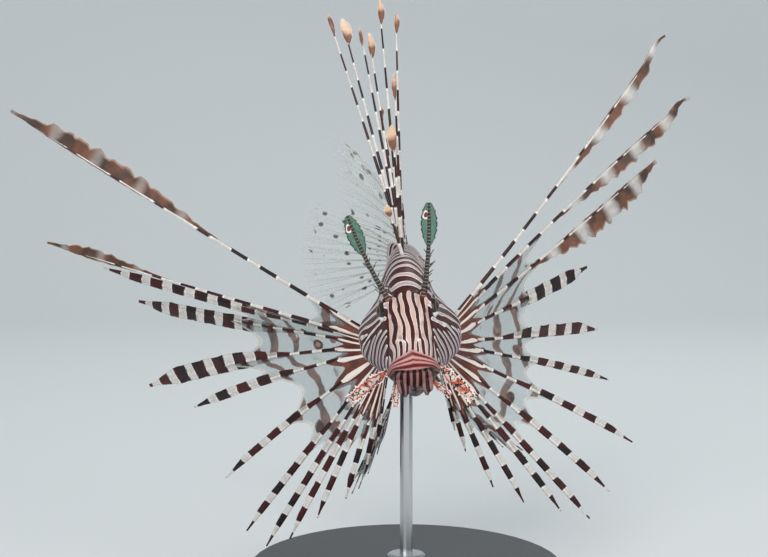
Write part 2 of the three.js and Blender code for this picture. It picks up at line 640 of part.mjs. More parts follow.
// A place on a spine of the back at a distance from the skin
function onBackSpine(i, distance) {
  const station = backSpines.first + backSpines.spacing * i;
  const slant = radians(backSpines.slants[i]);
  const lean = radians(backSpines.leans[i]);
  return onBody(
    distance * Math.sin(lean) * Math.cos(slant),
    station + distance * Math.sin(slant),
    sectionAt(station).top + distance * Math.cos(lean) * Math.cos(slant),
  );
}

function backSpineSolid(i) {
  const length = backSpines.lengths[i];
  const leafFrom = 1 - backSpines.leaves[i] / length;
  const path = countTo(backSpines.steps, (k) => {
    const t = k / (backSpines.steps - 1);
    const share = t < 0.5 ? 2 * t * leafFrom : mix(leafFrom, 1, 2 * t - 1);
    return onBackSpine(i, mix(-backSpines.sunk, length, share));
  });
  const size = (t) => {
    const share = t < 0.5 ? 2 * t * leafFrom : mix(leafFrom, 1, 2 * t - 1);
    const radius = mix(backSpines.rootRadius, backSpines.tipRadius, share);
    const leaf = Math.sin(Math.PI * clamp((2 * t - 1) * 0.95, 0, 1));
    return [Math.max(radius, backSpines.leafHalf * leaf), radius];
  };
  return toSolid(taperedTube(path, size, backSpines.sides, vector(0, -1, 0.01)));
}

// The spiny back fin: separate spines over a low web
function spinyDorsalSolid() {
  const count = backSpines.lengths.length;
  const reach = (i) => backWeb.floor + backWeb.share * backSpines.lengths[i];
  const columns = [];
  for (let c = 0; c <= 2 * (count - 1); c += 1) {
    const a = Math.floor(c / 2);
    const b = Math.ceil(c / 2);
    const sag = a === b ? 1 : backWeb.sag;
    columns.push(countTo(backWeb.rows + 1, (r) => {
      const share = r / backWeb.rows;
      const one = onBackSpine(a, mix(-backSpines.sunk, reach(a) * sag, share));
      const other = onBackSpine(b, mix(-backSpines.sunk, reach(b) * sag, share));
      return { at: one.lerp(other, 0.5), normal: vector(1, 0, 0), half: backWeb.half };
    }));
  }
  let fin = toSolid(sheetGeometry(columns, () => true));
  for (let i = 0; i < count; i += 1) fin = fin.add(backSpineSolid(i));
  return fin.subtract(fleshClearance);
}

// Unit direction of a ray of a paired fin
function rayDirection(side, rise, slant) {
  const [up, back] = [radians(rise), radians(slant)];
  return vector(side * Math.cos(up) * Math.cos(back), Math.sin(back), Math.sin(up) * Math.cos(back));
}

function onLine(line, side, share) {
  const place = vector(...line.from).lerp(vector(...line.to), share);
  place.x *= side;
  return place;
}

// Width of a vane at a share of its ray: narrow up to its start, then opening, and pointed at its end
function vaneWidth(most, start, shape, t) {
  const opened = mix(shape.closed, 1, smoothstep(start, start + shape.opens, t));
  const pointed = 1 - shape.point * smoothstep(shape.pointFrom, 1, t);
  return Math.max(shape.least, most * opened * pointed);
}

function pectoralSolid(sideName) {
  const side = sides[sideName];
  const table = pectoralRays[sideName];
  const rays = table.map((ray, i) => {
    const share = i / (table.length - 1);
    const root = onLine(pectoral.root, side, share);
    const inner = onLine(pectoral.inner, side, share);
    const reach = root.addScaledVector(rayDirection(side, ray.rise, ray.slant), ray.length);
    const width = (most) => (t) => vaneWidth(most, ray.vane, pectoral.shape, t);
    return {
      at: (t) => {
        const place = inner.clone().lerp(reach, t);
        place.y += pectoral.curl * ray.length * t * t;
        place.z += 4 * ray.bow * t * (1 - t);
        return place;
      },
      above: width(ray.above),
      below: width(ray.below),
      web: ray.web,
      foot: Math.min(pectoral.footLength / ray.length, pectoral.footMost),
    };
  });
  const thickness = (t, ray) => {
    const flesh = pectoral.flesh * (1 - smoothstep(0, ray.foot, t));
    return { web: pectoral.web + flesh, shaft: mix(pectoral.shaftRoot, pectoral.shaftTip, t) + flesh };
  };
  return toSolid(finGeometry(rays, pectoral.rows, thickness, true)).subtract(fleshClearance);
}

function pelvicSolid(sideName) {
  const side = sides[sideName];
  const last = pelvic.lengths.length - 1;
  const rays = pelvic.lengths.map((length, i) => {
    const share = i / last;
    const root = onLine(pelvic.root, side, share);
    const rise = mix(...pelvic.rise[sideName], share);
    const direction = rayDirection(side, rise, mix(...pelvic.slant, share));
    const width = (t) => vaneWidth(pelvic.vane, 0, pelvic.shape, t);
    return {
      at: (t) => {
        const place = root.clone().addScaledVector(direction, length * t);
        place.y += pelvic.curl * length * t * t;
        return place;
      },
      above: width,
      below: width,
      web: pelvic.web,
    };
  });
  const thickness = (t) => ({ web: softRay.web, shaft: mix(pelvic.shaftRoot, pelvic.shaftTip, t) });
  return toSolid(finGeometry(rays, pelvic.rows, thickness, false)).subtract(fleshClearance);
}

// A fin on the body's middle plane, above the back or below the belly
function softFinSolid(fin) {
  const last = fin.lengths.length - 1;
  const rays = fin.lengths.map((length, i) => {
    const station = mix(fin.from, fin.to, i / last);
    const slant = radians(mix(...fin.slant, i / last));
    const skin = fin.sign > 0 ? sectionAt(station).top : sectionAt(station).bottom;
    return {
      at: (t) => onBody(
        -fin.lean * t * t,
        station + length * Math.sin(slant) * t,
        skin + fin.sign * (length * Math.cos(slant) * t - fin.sunk),
      ),
      above: () => softRay.vane,
      below: () => softRay.vane,
      web: fin.web,
    };
  });
  const thickness = (t) => ({ web: softRay.web, shaft: mix(softRay.shaftRoot, softRay.shaftTip, t) });
  return toSolid(finGeometry(rays, fin.rows, thickness, false)).subtract(fleshClearance);
}

function caudalSolid() {
  const rays = countTo(caudal.rays, (i) => {
    const side = 1 - (2 * i) / (caudal.rays - 1);
    const angle = radians(caudal.spread * side);
    const length = caudal.length * (1 - caudal.roundness * side * side);
    return {
      at: (t) => onBody(
        0,
        caudal.station + length * Math.cos(angle) * t,
        caudal.rootHalf * side + length * Math.sin(angle) * t,
      ),
      above: (t) => mix(softRay.narrow, softRay.vane, t),
      below: (t) => mix(softRay.narrow, softRay.vane, t),
      web: caudal.web,
    };
  });
  const thickness = (t) => ({ web: softRay.web, shaft: mix(softRay.shaftRoot, softRay.shaftTip, t) });
  return toSolid(finGeometry(rays, caudal.rows, thickness, false)).subtract(fleshClearance);
}

// Colours of the named parts
const finishes = {
  flesh: { color: 0xb9705a, roughness: 0.5, metalness: 0 },
  fin: { color: 0x8a5a4c, roughness: 0.55, metalness: 0 },
  clearFin: { color: 0xa9bdb4, roughness: 0.4, metalness: 0 },
  eye: { color: 0x2a1512, roughness: 0.1, metalness: 0 },
  base: { color: 0x1d1f21, roughness: 0.45, metalness: 0 },
  rod: { color: 0xb5b8ba, roughness: 0.3, metalness: 1 },
};

function named(name, geometry, finish) {
  const mesh = new THREE.Mesh(geometry, new THREE.MeshStandardMaterial(finishes[finish]));
  mesh.name = name;
  return mesh;
}

// The fish in its own frame, then leaned and set over the stand
function fishGroup() {
  const group = new THREE.Group();
  const add = (name, solid, finish) => group.add(named(name, toGeometry(solid), finish));
  const flesh = fleshParts();
  add("head", flesh.head, "flesh");
  add("jaw_lower", flesh.jaw, "flesh");
  add("trunk", flesh.trunk, "flesh");
  add("tail_stem", flesh.tail, "flesh");
  add("dorsal_fin_spiny", spinyDorsalSolid(), "fin");
  add("dorsal_fin_soft", softFinSolid(softDorsal), "clearFin");
  add("anal_fin", softFinSolid(anal), "clearFin");
  add("caudal_fin", caudalSolid(), "clearFin");
  for (const [sideName, side] of Object.entries(sides)) {
    group.add(named(`eye_${sideName}`, eyeBall(side, 0), "eye"));
    add(`tentacle_${sideName}`, tentacleSolid(side, tentacle.lean[sideName]), "fin");
    mouthFlaps.forEach((flap) => add(`${flap.name}_${sideName}`, flapSolid(sideName, flap), "fin"));
    add(`pectoral_fin_${sideName}`, pectoralSolid(sideName), "fin");
    add(`pelvic_fin_${sideName}`, pelvicSolid(sideName), "fin");
  }
  return group;
}

// From the fish's own frame to the model's
const pose = new THREE.Matrix4()
  .makeTranslation(0, 0, axisHeight)
  .multiply(new THREE.Matrix4().makeRotationY(radians(-leanRight)))
  .multiply(new THREE.Matrix4().makeRotationX(radians(noseDown)))
  .multiply(new THREE.Matrix4().makeTranslation(0, -rod.station, 0));

function ovalSlab(width, length, bevel, height, arcs) {
  const shape = new THREE.Shape();
  shape.absellipse(0, 0, width / 2 - bevel, length / 2 - bevel, 0, 2 * Math.PI);
  return new THREE.ExtrudeGeometry(shape, {
    depth: height - 2 * bevel,
    bevelSize: bevel,
    bevelThickness: bevel,
    bevelSegments: 1,
    curveSegments: arcs,
  }).translate(0, 0, bevel);
}

function standMeshes() {
  const slab = ovalSlab(base.width, base.length, base.bevel, base.thickness, base.arcs);
  const foot = base.thickness + gap;
  const profile = [
    [0, foot], [rod.collarRadius, foot], [rod.collarRadius, foot + rod.collarHeight - 1],
    [rod.collarRadius - 1, foot + rod.collarHeight], [rod.radius, foot + rod.collarHeight],
    [rod.radius, rod.above], [0, rod.above],
  ].map((place) => new THREE.Vector2(...place));
  const post = new THREE.LatheGeometry(profile, rod.sides).rotateX(radians(90));
  const posed = toSolid(post).subtract(posedClearance());
  return [named("stand_base", slab, "base"), named("stand_rod", toGeometry(posed), "rod")];
}

function posedClearance() {
  return fleshClearance.transform(pose.elements);
}

const group = new THREE.Group();
const fish = fishGroup();
fish.applyMatrix4(pose);
group.add(fish, ...standMeshes());

export default group;
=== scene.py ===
"""A life-size red lionfish swimming towards the viewer, on a display stand, dressed for the render.

Places on the fish are given in millimetres as (across, station, height): across grows towards the
fish's left, station is the distance back from the tip of the snout along the body, and height is
measured from the body's axis. The finished pieces are in metres in the frame's own axes.
"""

import math

import bpy
import numpy as np
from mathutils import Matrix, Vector


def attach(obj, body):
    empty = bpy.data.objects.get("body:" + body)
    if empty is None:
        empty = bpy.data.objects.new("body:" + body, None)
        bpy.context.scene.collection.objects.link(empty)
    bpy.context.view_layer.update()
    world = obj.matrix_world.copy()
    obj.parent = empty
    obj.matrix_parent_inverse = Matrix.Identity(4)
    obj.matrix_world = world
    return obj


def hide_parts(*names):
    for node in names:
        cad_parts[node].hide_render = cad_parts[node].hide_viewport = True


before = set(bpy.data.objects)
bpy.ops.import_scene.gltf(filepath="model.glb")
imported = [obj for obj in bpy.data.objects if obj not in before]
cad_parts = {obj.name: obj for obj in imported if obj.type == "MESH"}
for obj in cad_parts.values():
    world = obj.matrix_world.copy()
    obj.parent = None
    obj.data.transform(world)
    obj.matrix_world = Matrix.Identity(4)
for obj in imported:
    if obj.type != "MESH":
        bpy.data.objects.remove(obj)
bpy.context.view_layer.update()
rng = np.random.default_rng(11)

# Driving dimensions, the same as the solids
STANDARD_LENGTH = 190.0
AXIS_HEIGHT = 136.0
NOSE_DOWN = 6.0
LEAN_RIGHT = 5.5
ROD_STATION = 86.0
SIDES = {"left": 1, "right": -1}

# Outline in per cent of the standard length: station, back, belly, half width, height of the widest
# point, and the exponents that round the section above and below it
OUTLINE = np.array([
    [0.0, -4.4, -8.2, 1.8, -6.4, 1.9, 1.8],
    [1.2, -1.6, -10.2, 3.7, -6.2, 1.9, 1.7],
    [5.0, 3.0, -12.2, 5.2, -5.8, 1.9, 1.6],
    [10.0, 7.2, -14.4, 6.2, -5.2, 1.9, 1.6],
    [15.0, 10.2, -16.2, 6.7, -5.0, 2.0, 1.6],
    [20.0, 12.4, -17.2, 6.9, -5.0, 2.1, 1.6],
    [26.0, 14.0, -17.8, 6.8, -5.0, 2.15, 1.6],
    [33.0, 14.6, -17.8, 6.6, -4.8, 2.15, 1.65],
    [42.0, 14.3, -17.0, 6.2, -3.4, 2.1, 1.8],
    [54.0, 12.8, -15.0, 5.7, -1.6, 2.0, 1.9],
    [68.0, 10.4, -11.8, 4.9, -0.6, 1.9, 1.9],
    [82.0, 7.6, -7.8, 3.8, 0.0, 1.9, 1.9],
    [93.0, 5.6, -5.4, 2.4, 0.2, 1.9, 1.9],
    [100.0, 5.4, -5.2, 1.8, 0.2, 2.0, 2.0],
])
# The cheeks and gill covers stand out from the section by stations and heights
CHEEK = {"out": 9.3, "from": 12.0, "full": 44.0, "until": 60.0, "gone": 104.0, "top": 10.0,
         "high": -7.0, "low": -12.0, "under": -27.0}
BOW = {"from": 70.0, "to": 158.0, "angle": 4.0}
BEND = {"from": 146.0, "to": 206.0, "angle": 66.0, "lift": 2.0}
# The hind edge of the gill covers as height and station, and the mouth as station and height
GILL_LINE = np.array([
    [60, 48], [34, 50], [24, 55], [14, 62], [4, 66.5], [-4, 67], [-13, 63], [-22, 54], [-28, 45], [-60, 38],
], dtype=float)
GILL_FLARE = {"from": 42.0, "to": 60.0, "rise": 1.1}
MOUTH_LINE = np.array([[-20, -12.4], [1, -12.4], [8, -15.4], [16, -17.9], [25, -20.6]])


# Small helpers
def mix(a, b, share):
    return a + (b - a) * share


def ease(start, end, value):
    t = np.clip((value - start) / (end - start), 0.0, 1.0)
    return t * t * (3.0 - 2.0 * t)


def down(count, start=0.0, end=1.0):
    """Even steps down the rows of a grid."""
    return np.linspace(start, end, count)[:, None]


def over(count, start=0.0, end=1.0):
    """Even steps over the columns of a grid."""
    return np.linspace(start, end, count)[None]


def unit(vectors):
    return vectors / np.maximum(np.linalg.norm(vectors, axis=-1, keepdims=True), 1e-9)


def along(table, column, at):
    """A column of a table at stations, on a smooth cubic through its rows."""
    x, y = table[:, 0], table[:, column]
    slope = np.gradient(y)
    slope[1:-1] = (y[2:] - y[:-2]) / (x[2:] - x[:-2])
    slope[0] = (y[1] - y[0]) / (x[1] - x[0])
    slope[-1] = (y[-1] - y[-2]) / (x[-1] - x[-2])
    at = np.clip(at, x[0], x[-1])
    i = np.clip(np.searchsorted(x, at, side="right") - 1, 0, len(x) - 2)
    width = x[i + 1] - x[i]
    t = (at - x[i]) / width
    rise = (y[i + 1] - y[i]) * t * t * (3.0 - 2.0 * t)
    leaving = slope[i] * width * t * (1.0 - t) ** 2
    arriving = slope[i + 1] * width * t * t * (1.0 - t)
    return y[i] + rise + leaving - arriving


def middle_line():
    """Places and headings of the bent middle line, a step for each millimetre."""
    stations = np.arange(0, 271)
    swing = np.clip((stations - BEND["from"]) / (BEND["to"] - BEND["from"]), 0, 1) ** 2
    counter = np.sin(np.pi * np.clip((stations - BOW["from"]) / (BOW["to"] - BOW["from"]), 0, 1))
    turn = np.radians(BEND["angle"] * swing - BOW["angle"] * counter)
    x = np.concatenate([[0.0], np.cumsum(-np.sin(turn[1:]))])
    y = np.concatenate([[0.0], np.cumsum(np.cos(turn[1:]))])
    return stations, x, y, turn


MIDDLE = middle_line()


def on_body(places):
    """Places (across, station, height) as points of the fish's frame."""
    across, station, height = places[..., 0], places[..., 1], places[..., 2]
    stations, x, y, turn = MIDDLE
    at = np.clip(station, 0, stations[-1])
    heading = np.interp(at, stations, turn)
    lift = BEND["lift"] * ease(BEND["from"], BEND["to"], station)
    return np.stack([
        np.interp(at, stations, x) + across * np.cos(heading),
        np.interp(at, stations, y) + across * np.sin(heading) + np.minimum(station, 0),
        height + lift,
    ], axis=-1)


def to_world(points):
    """Points of the fish's frame in the frame of the whole model, in metres."""
    nose, lean = math.radians(NOSE_DOWN), math.radians(-LEAN_RIGHT)
    x, y, z = points[..., 0], points[..., 1] - ROD_STATION, points[..., 2]
    y, z = y * math.cos(nose) - z * math.sin(nose), y * math.sin(nose) + z * math.cos(nose)
    x, z = x * math.cos(lean) + z * math.sin(lean), z * math.cos(lean) - x * math.sin(lean)
    return np.stack([x, y, z + AXIS_HEIGHT], axis=-1) / 1000.0


def section(station):
    """Back, belly, half width, widest height and the two exponents, in millimetres."""
    at = np.asarray(station, dtype=float) * 100.0 / STANDARD_LENGTH
    scale = STANDARD_LENGTH / 100.0
    return [along(OUTLINE, k, at) * (scale if k < 5 else 1.0) for k in range(1, 7)]


def cheek(station, height):
    """How far the cheeks and gill covers stand out at a station and height."""
    reach = ease(CHEEK["from"], CHEEK["full"], station) * (1 - ease(CHEEK["until"], CHEEK["gone"], station))
    tall = ease(CHEEK["top"], CHEEK["high"], height) * ease(CHEEK["under"], CHEEK["low"], height)
    return CHEEK["out"] * reach * tall


def gill_edge(height):
    """The station of the gill cover's hind edge at a height."""
    return np.interp(height, GILL_LINE[::-1, 0], GILL_LINE[::-1, 1])


def half_width(station, height):
    top, bottom, half, widest, upper, lower = section(station)
    above = height > widest
    reach = np.where(above, top - widest, widest - bottom)
    power = np.where(above, upper, lower)
    share = np.clip(np.abs(height - widest) / reach, 0, 1)
    return half * (1 - share ** power) ** (1 / power) + cheek(station, height)


class Ripple:
    """Smooth seeded noise made of waves, for bending markings and edges."""

    def __init__(self, seed, scale, waves=9):
        draws = np.random.default_rng(seed)
        directions = unit(draws.normal(size=(waves, 3)))
        self.waves = directions * draws.uniform(0.6, 1.6, (waves, 1)) * 2 * np.pi / scale
        self.phases = draws.uniform(0, 2 * np.pi, waves)

    def __call__(self, points):
        total = np.sin(points @ self.waves.T + self.phases).sum(axis=-1)
        return total / math.sqrt(len(self.phases) / 2)


class Pieces:
    """Grids of points gathered into one mesh, with named numbers at each point."""

    def __init__(self):
        self.points, self.faces, self.values, self.count = [], [], {}, 0

    def grid(self, points, closed=False, **values):
        rows, columns = points.shape[:2]
        index = np.arange(rows * columns).reshape(rows, columns) + self.count
        here = index if closed else index[:, :-1]
        there = np.roll(index, -1, axis=1) if closed else index[:, 1:]
        quads = np.stack([here[:-1], there[:-1], there[1:], here[1:]], axis=-1)
        self.points.append(points.reshape(-1, 3))
        self.faces.append(quads.reshape(-1, 4))
        for key, value in values.items():
            filled = np.broadcast_to(value, (rows, columns)).ravel()
            self.values.setdefault(key, []).append(filled)
        self.count += rows * columns
        return index

    def slab(self, points, normals, half, **values):
        """A sheet with thickness, its ends closed."""
        thick = np.asarray(normals) * np.broadcast_to(half, points.shape[:2])[..., None]
        ring = np.concatenate([points + thick, (points - thick)[:, ::-1]], axis=1)
        both = {}
        for key, value in values.items():
            filled = np.broadcast_to(value, points.shape[:2])
            both[key] = np.concatenate([filled, filled[:, ::-1]], axis=1)
        index = self.grid(ring, closed=True, **both)
        columns = points.shape[1]
        for row in (index[0], index[-1]):
            caps = [[row[k], row[k + 1], row[2 * columns - 2 - k], row[2 * columns - 1 - k]]
                    for k in range(columns - 1)]
            self.faces.append(np.array(caps))

    def tube(self, path, half_width, half_thick=None, sides=8, facing=(0, -1, 0), **values):
        half_thick = half_width if half_thick is None else half_thick
        tangent = unit(np.gradient(path, axis=0))
        wide = unit(np.cross(tangent, np.asarray(facing, dtype=float)))
        thick = unit(np.cross(wide, tangent))
        angle = 2 * np.pi * (np.arange(sides) + 0.5) / sides
        width = np.broadcast_to(half_width, len(path))[:, None, None]
        depth = np.broadcast_to(half_thick, len(path))[:, None, None]
        ring = (path[:, None] + wide[:, None] * width * np.cos(angle)[None, :, None]
                + thick[:, None] * depth * np.sin(angle)[None, :, None])
        ends = [path[:1, None].repeat(sides, 1), ring, path[-1:, None].repeat(sides, 1)]
        spread = {}
        for key, value in values.items():
            column = np.broadcast_to(value, len(path))
            spread[key] = np.concatenate([column[:1], column, column[-1:]])[:, None]
        self.grid(np.concatenate(ends), closed=True, **spread)

    def ray(self, path, radius, sides=8, flat=1.0, **values):
        """A tube set out from a direction that no ray follows."""
        self.tube(path, radius, radius * flat, sides, (0, -1, 0.01), **values)

    def build(self, name, world=True):
        points = np.concatenate(self.points)
        if world:
            points = to_world(points)
        values = {key: np.concatenate(parts) for key, parts in self.values.items()}
        return mesh_object(name, points, np.concatenate(self.faces), values)


def mesh_object(name, points, faces, values):
    mesh = bpy.data.meshes.new(name)
    mesh.vertices.add(len(points))
    mesh.vertices.foreach_set("co", np.ascontiguousarray(points, dtype=np.float32).ravel())
    mesh.loops.add(faces.size)
    mesh.loops.foreach_set("vertex_index", np.ascontiguousarray(faces, dtype=np.int32).ravel())
    mesh.polygons.add(len(faces))
    starts = np.arange(0, faces.size, faces.shape[1], dtype=np.int32)
    mesh.polygons.foreach_set("loop_start", starts)
    mesh.update(calc_edges=True)
    mesh.validate()
    mesh.shade_smooth()
    for key, value in values.items():
        layer = mesh.attributes.new(key, "FLOAT", "POINT")
        layer.data.foreach_set("value", np.ascontiguousarray(value, dtype=np.float32))
    made = bpy.data.objects.new(name, mesh)
    bpy.context.scene.collection.objects.link(made)
    return made


def settle(piece, look, slot, *nodes):
    """Gives a piece its look and its body, and hides the nodes that it replaces. The slot is not used."""
    piece.data.materials.clear()
    piece.data.materials.append(look.material)
    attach(piece, "root")
    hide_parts(*nodes)


class Look:
    """A material, with short calls for the nodes that make it."""

    def __init__(self, name, **surface):
        self.material = bpy.data.materials.new(name)
        self.material.use_nodes = True
        self.tree = self.material.node_tree
        self.surface = self.tree.nodes["Principled BSDF"]
        self.set(**surface)

    def put(self, socket, value):
        if isinstance(value, bpy.types.NodeSocket):
            self.tree.links.new(value, socket)
        elif socket.type == "RGBA" and len(value) == 3:
            socket.default_value = (*value, 1.0)
        else:
            socket.default_value = value

    def set(self, **surface):
        for key, value in surface.items():
            self.put(self.surface.inputs[key.replace("_", " ")], value)

    def node(self, kind, inputs=(), **settings):
        made = self.tree.nodes.new("ShaderNode" + kind)
        for key, value in settings.items():
            setattr(made, key, value)
        for socket, value in dict(inputs).items():
            self.put(made.inputs[socket], value)
        return made

    def value(self, name):
        return self.node("Attribute", attribute_name=name).outputs["Fac"]

    def math(self, operation, *values, clamp=False):
        inputs = dict(enumerate(values))
        return self.node("Math", inputs, operation=operation, use_clamp=clamp).outputs[0]

    def add(self, a, b):
        return self.math("ADD", a, b)

    def times(self, a, b):
        return self.math("MULTIPLY", a, b)

    def most(self, a, b):
        return self.math("MAXIMUM", a, b)

    def rest(self, value):
        """What a value leaves of 1."""
        return self.math("SUBTRACT", 1.0, value)

    def wave(self, turns):
        return self.math("SINE", self.times(turns, 2 * math.pi))

    def ease(self, start, end, value):
        """From 0 at the start to 1 at the end, whichever of them is the higher."""
        inputs = {"Value": value, "From Min": start, "From Max": end}
        made = self.node("MapRange", inputs, interpolation_type="SMOOTHSTEP")
        return made.outputs["Result"]

    def mix(self, share, a, b):
        inputs = {0: share, 6: a, 7: b}
        return self.node("Mix", inputs, data_type="RGBA").outputs[2]

    def noise(self, scale, detail=2.0):
        inputs = {"Scale": scale, "Detail": detail, "Vector": self.place()}
        return self.node("TexNoise", inputs).outputs["Fac"]

    def wobble(self, scale, amount, detail=2.0):
        """Noise about zero."""
        return self.times(self.add(self.noise(scale, detail), -0.5), amount)

    def mottled(self, one, other, scale, detail=2.0, low=0.35, high=0.65):
        """Two colours in soft patches."""
        return self.mix(self.ease(low, high, self.noise(scale, detail)), one, other)

    def place(self):
        return self.node("TexCoord").outputs["Object"]

    def vector(self, x, y):
        return self.node("CombineXYZ", {0: x, 1: y}).outputs[0]

    def cells(self, scale, vector=None, randomness=1.0):
        inputs = {"Scale": scale, "Randomness": randomness}
        inputs["Vector"] = self.place() if vector is None else vector
        return self.node("TexVoronoi", inputs).outputs["Distance"]

    def bump(self, height, distance, strength):
        inputs = {"Height": height, "Distance": distance, "Strength": strength}
        return self.node("Bump", inputs).outputs[0]


# The skin, first as a straight fish in millimetres
SKIN_VOXEL = 0.37
SKIN_EDGE = SKIN_VOXEL * 1.0
STRIPE_STEPS = 240
# The upper lip is arched: its height falls off to each side
LIP = {"from": 25.0, "to": 0.6, "height": 4.4, "fall": 0.25, "least": 1.5, "depth": 1.9, "inset": 0.7}
JAW_LIP = {"from": 22.0, "to": 1.6, "height": 1.6, "fall": 0.05, "least": 1.0, "depth": 1.3,
           "inset": 1.6}
EYE = {"across": 7.7, "station": 26.0, "height": 8.6, "radius": 5.9, "look": (0.96, -0.25, 0.1)}
LID = {"ring": 5.2, "tube": 1.25}
BROW = [[3.6, 10, 5.0], [6.2, 18, 10.8], [8.0, 26, 14.8], [8.6, 36, 17.2]]
BROW_RADIUS = 2.3
CHIN_LOBES = [[4.4, 6.0, -17.0], [4.7, 3.2, -20.4], [4.4, 2.4, -24.0]]
CHIN_RADIUS = 2.4
NOSTRILS = {"roots": [[3.7, 5.6, 1.6], [5.3, 12.5, 5.8]], "half": [0.9, -1.1, 1.7], "radius": 1.05}


def eye_frame(side):
    """An eye's centre, the way it looks and two directions square to that."""
    centre = np.array([side * EYE["across"], EYE["station"], EYE["height"]])
    look = unit(np.array(EYE["look"]) * [side, 1, 1])
    one = unit(np.cross(look, [0, 0, 1.0]))
    return centre, look, one, np.cross(look, one)


def smooth_path(places, count):
    """A smooth curve through places."""
    places = np.asarray(places, dtype=float)
    table = np.column_stack([np.arange(len(places)), places])
    at = np.linspace(0, len(places) - 1, count)
    return np.stack([along(table, k, at) for k in (1, 2, 3)], axis=-1)


def body_grid(rows, sides):
    station = STANDARD_LENGTH * (np.arange(rows) / (rows - 1)) ** 1.35
    top, bottom, half, widest, upper, lower = [v[:, None] for v in section(station)]
    angle = 2 * np.pi * (np.arange(sides) + 0.5)[None] / sides
    cos, sin = np.cos(angle), np.sin(angle)
    power = 2 / np.where(sin > 0, upper, lower)
    reach = np.where(sin > 0, top - widest, widest - bottom)
    flare = GILL_FLARE["rise"] * ease(GILL_FLARE["from"], GILL_FLARE["to"], station)[:, None]
    gill = gill_edge(widest + reach * sin)
    flare = flare * (1 - ease(-1.5, 1.5, station[:, None] - gill))
    height = widest + np.sign(sin) * reach * np.abs(sin) ** power
    out = cheek(station[:, None], height) * ease(0, 0.3, np.abs(cos))
    across = np.sign(cos) * ((half + flare) * np.abs(cos) ** power + out)
    return np.stack([across, np.broadcast_to(station[:, None], across.shape), height], axis=-1)


def lip_height(side, lip=LIP):
    """Half the height of a lip at a distance from the middle."""
    return np.maximum(lip["height"] - lip["fall"] * np.abs(side), lip["least"])


def lip_path(lip, way):
    """The middle of a lip above or below the mouth line, round the snout, and its half heights."""
    station = np.linspace(lip["from"], lip["to"], 40)
    line = along(MOUTH_LINE, 1, station)
    side = half_width(station, line + way * 2.0) * 0.97
    front = np.linspace(side[-1], 0, 8)[1:]
    side = np.concatenate([side, front])
    station = np.concatenate([station, np.full(len(front), lip["to"])])
    line = np.concatenate([line, np.full(len(front), line[-1])])
    half = lip_height(side, lip)
    middle = np.stack([side, station + lip["inset"], line + way * half], axis=-1)
    path = np.concatenate([middle, (middle * [-1, 1, 1])[-2::-1]])
    return path, np.concatenate([half, half[-2::-1]])


def lid_ring(side):
    """The round rim of an eyelid and the way the eye looks."""
    centre, look, one, other = eye_frame(side)
    out = math.sqrt(EYE["radius"] ** 2 - LID["ring"] ** 2)
    turn = np.linspace(0, 2 * np.pi, 72)[:, None]
    return centre + look * out + LID["ring"] * (one * np.cos(turn) + other * np.sin(turn)), look


def skin_shape():
    """The whole skin as one surface of fine even faces, each with four corners."""
    forms = Pieces()
    body = body_grid(200, 140)
    tip, tail = [body[k:k + 1 or None].mean(1, keepdims=True).repeat(140, 1) for k in (0, -1)]
    forms.grid(np.concatenate([tip, body, tail]), closed=True)
    for lip, way in ((LIP, 1), (JAW_LIP, -1)):
        path, half = lip_path(lip, way)
        share = np.linspace(0, 1, len(path))
        swell = 0.3 + 0.7 * ease(0, 0.25, np.minimum(share, 1 - share))
        forms.tube(path, lip["depth"] * swell, half, sides=24, facing=(0, 0, 1))
    for side in SIDES.values():
        flip = [side, 1, 1]
        share = np.linspace(0, 1, 40)
        swell = 0.5 + 0.5 * np.sin(np.pi * share)
        forms.tube(smooth_path(BROW, 40) * flip, BROW_RADIUS * swell, sides=16, facing=(0, 0, 1))
        share = np.linspace(0, 1, 24)
        swell = np.sqrt(1 - ease(0.5, 1.08, share))
        forms.tube(smooth_path(CHIN_LOBES, 24) * flip, CHIN_RADIUS * swell, sides=14)
        ring, look = lid_ring(side)
        forms.tube(ring, LID["tube"], sides=14, facing=look)
        for root in NOSTRILS["roots"]:
            nostril = (np.array(root) + down(12, -1) * np.array(NOSTRILS["half"])) * flip
            forms.tube(nostril, NOSTRILS["radius"], sides=12)
    rough = forms.build("skin_forms", world=False)
    remesh = rough.modifiers.new("even", "REMESH")
    remesh.mode = "VOXEL"
    remesh.voxel_size = SKIN_EDGE
    remesh.adaptivity = 0
    graph = bpy.context.evaluated_depsgraph_get()
    even = rough.evaluated_get(graph).to_mesh()
    points = np.empty(len(even.vertices) * 3)
    even.vertices.foreach_get("co", points)
    corners = np.empty(len(even.loops), dtype=np.int32)
    even.loops.foreach_get("vertex_index", corners)
    bpy.data.objects.remove(rough)
    return points.reshape(-1, 3), corners.reshape(-1, 4)


def neighbours(faces, count):
    """Pairs of points that share an edge, each way, and how many each point has."""
    pairs = np.concatenate([faces[:, [k, (k + 1) % 4]] for k in range(4)])
    pairs = np.unique(np.sort(pairs, axis=1), axis=0)
    one = np.concatenate([pairs[:, 0], pairs[:, 1]])
    other = np.concatenate([pairs[:, 1], pairs[:, 0]])
    return one, other, np.bincount(one, minlength=count)


def averaged(values, one, other, shares):
    if values.ndim == 1:
        return np.bincount(one, values[other], len(values)) / shares
    return np.stack([averaged(values[:, k], one, other, shares) for k in range(values.shape[1])], -1)


def point_normals(points, faces):
    a, b, c, d = [points[faces[:, k]] for k in range(4)]
    normal = np.cross(c - a, d - b)
    total = np.zeros_like(points)
    for k in range(4):
        for axis in range(3):
            total[:, axis] += np.bincount(faces[:, k], normal[:, axis], len(points))
    return unit(total)


def ridge(value, middle, width):
    """1 at the middle, falling away in a bell."""
    return np.exp(-((value - middle) / width) ** 2)


# Waves that bend the stripes
warp_a = Ripple(3, 26.0)
warp_b = Ripple(5, 11.0)


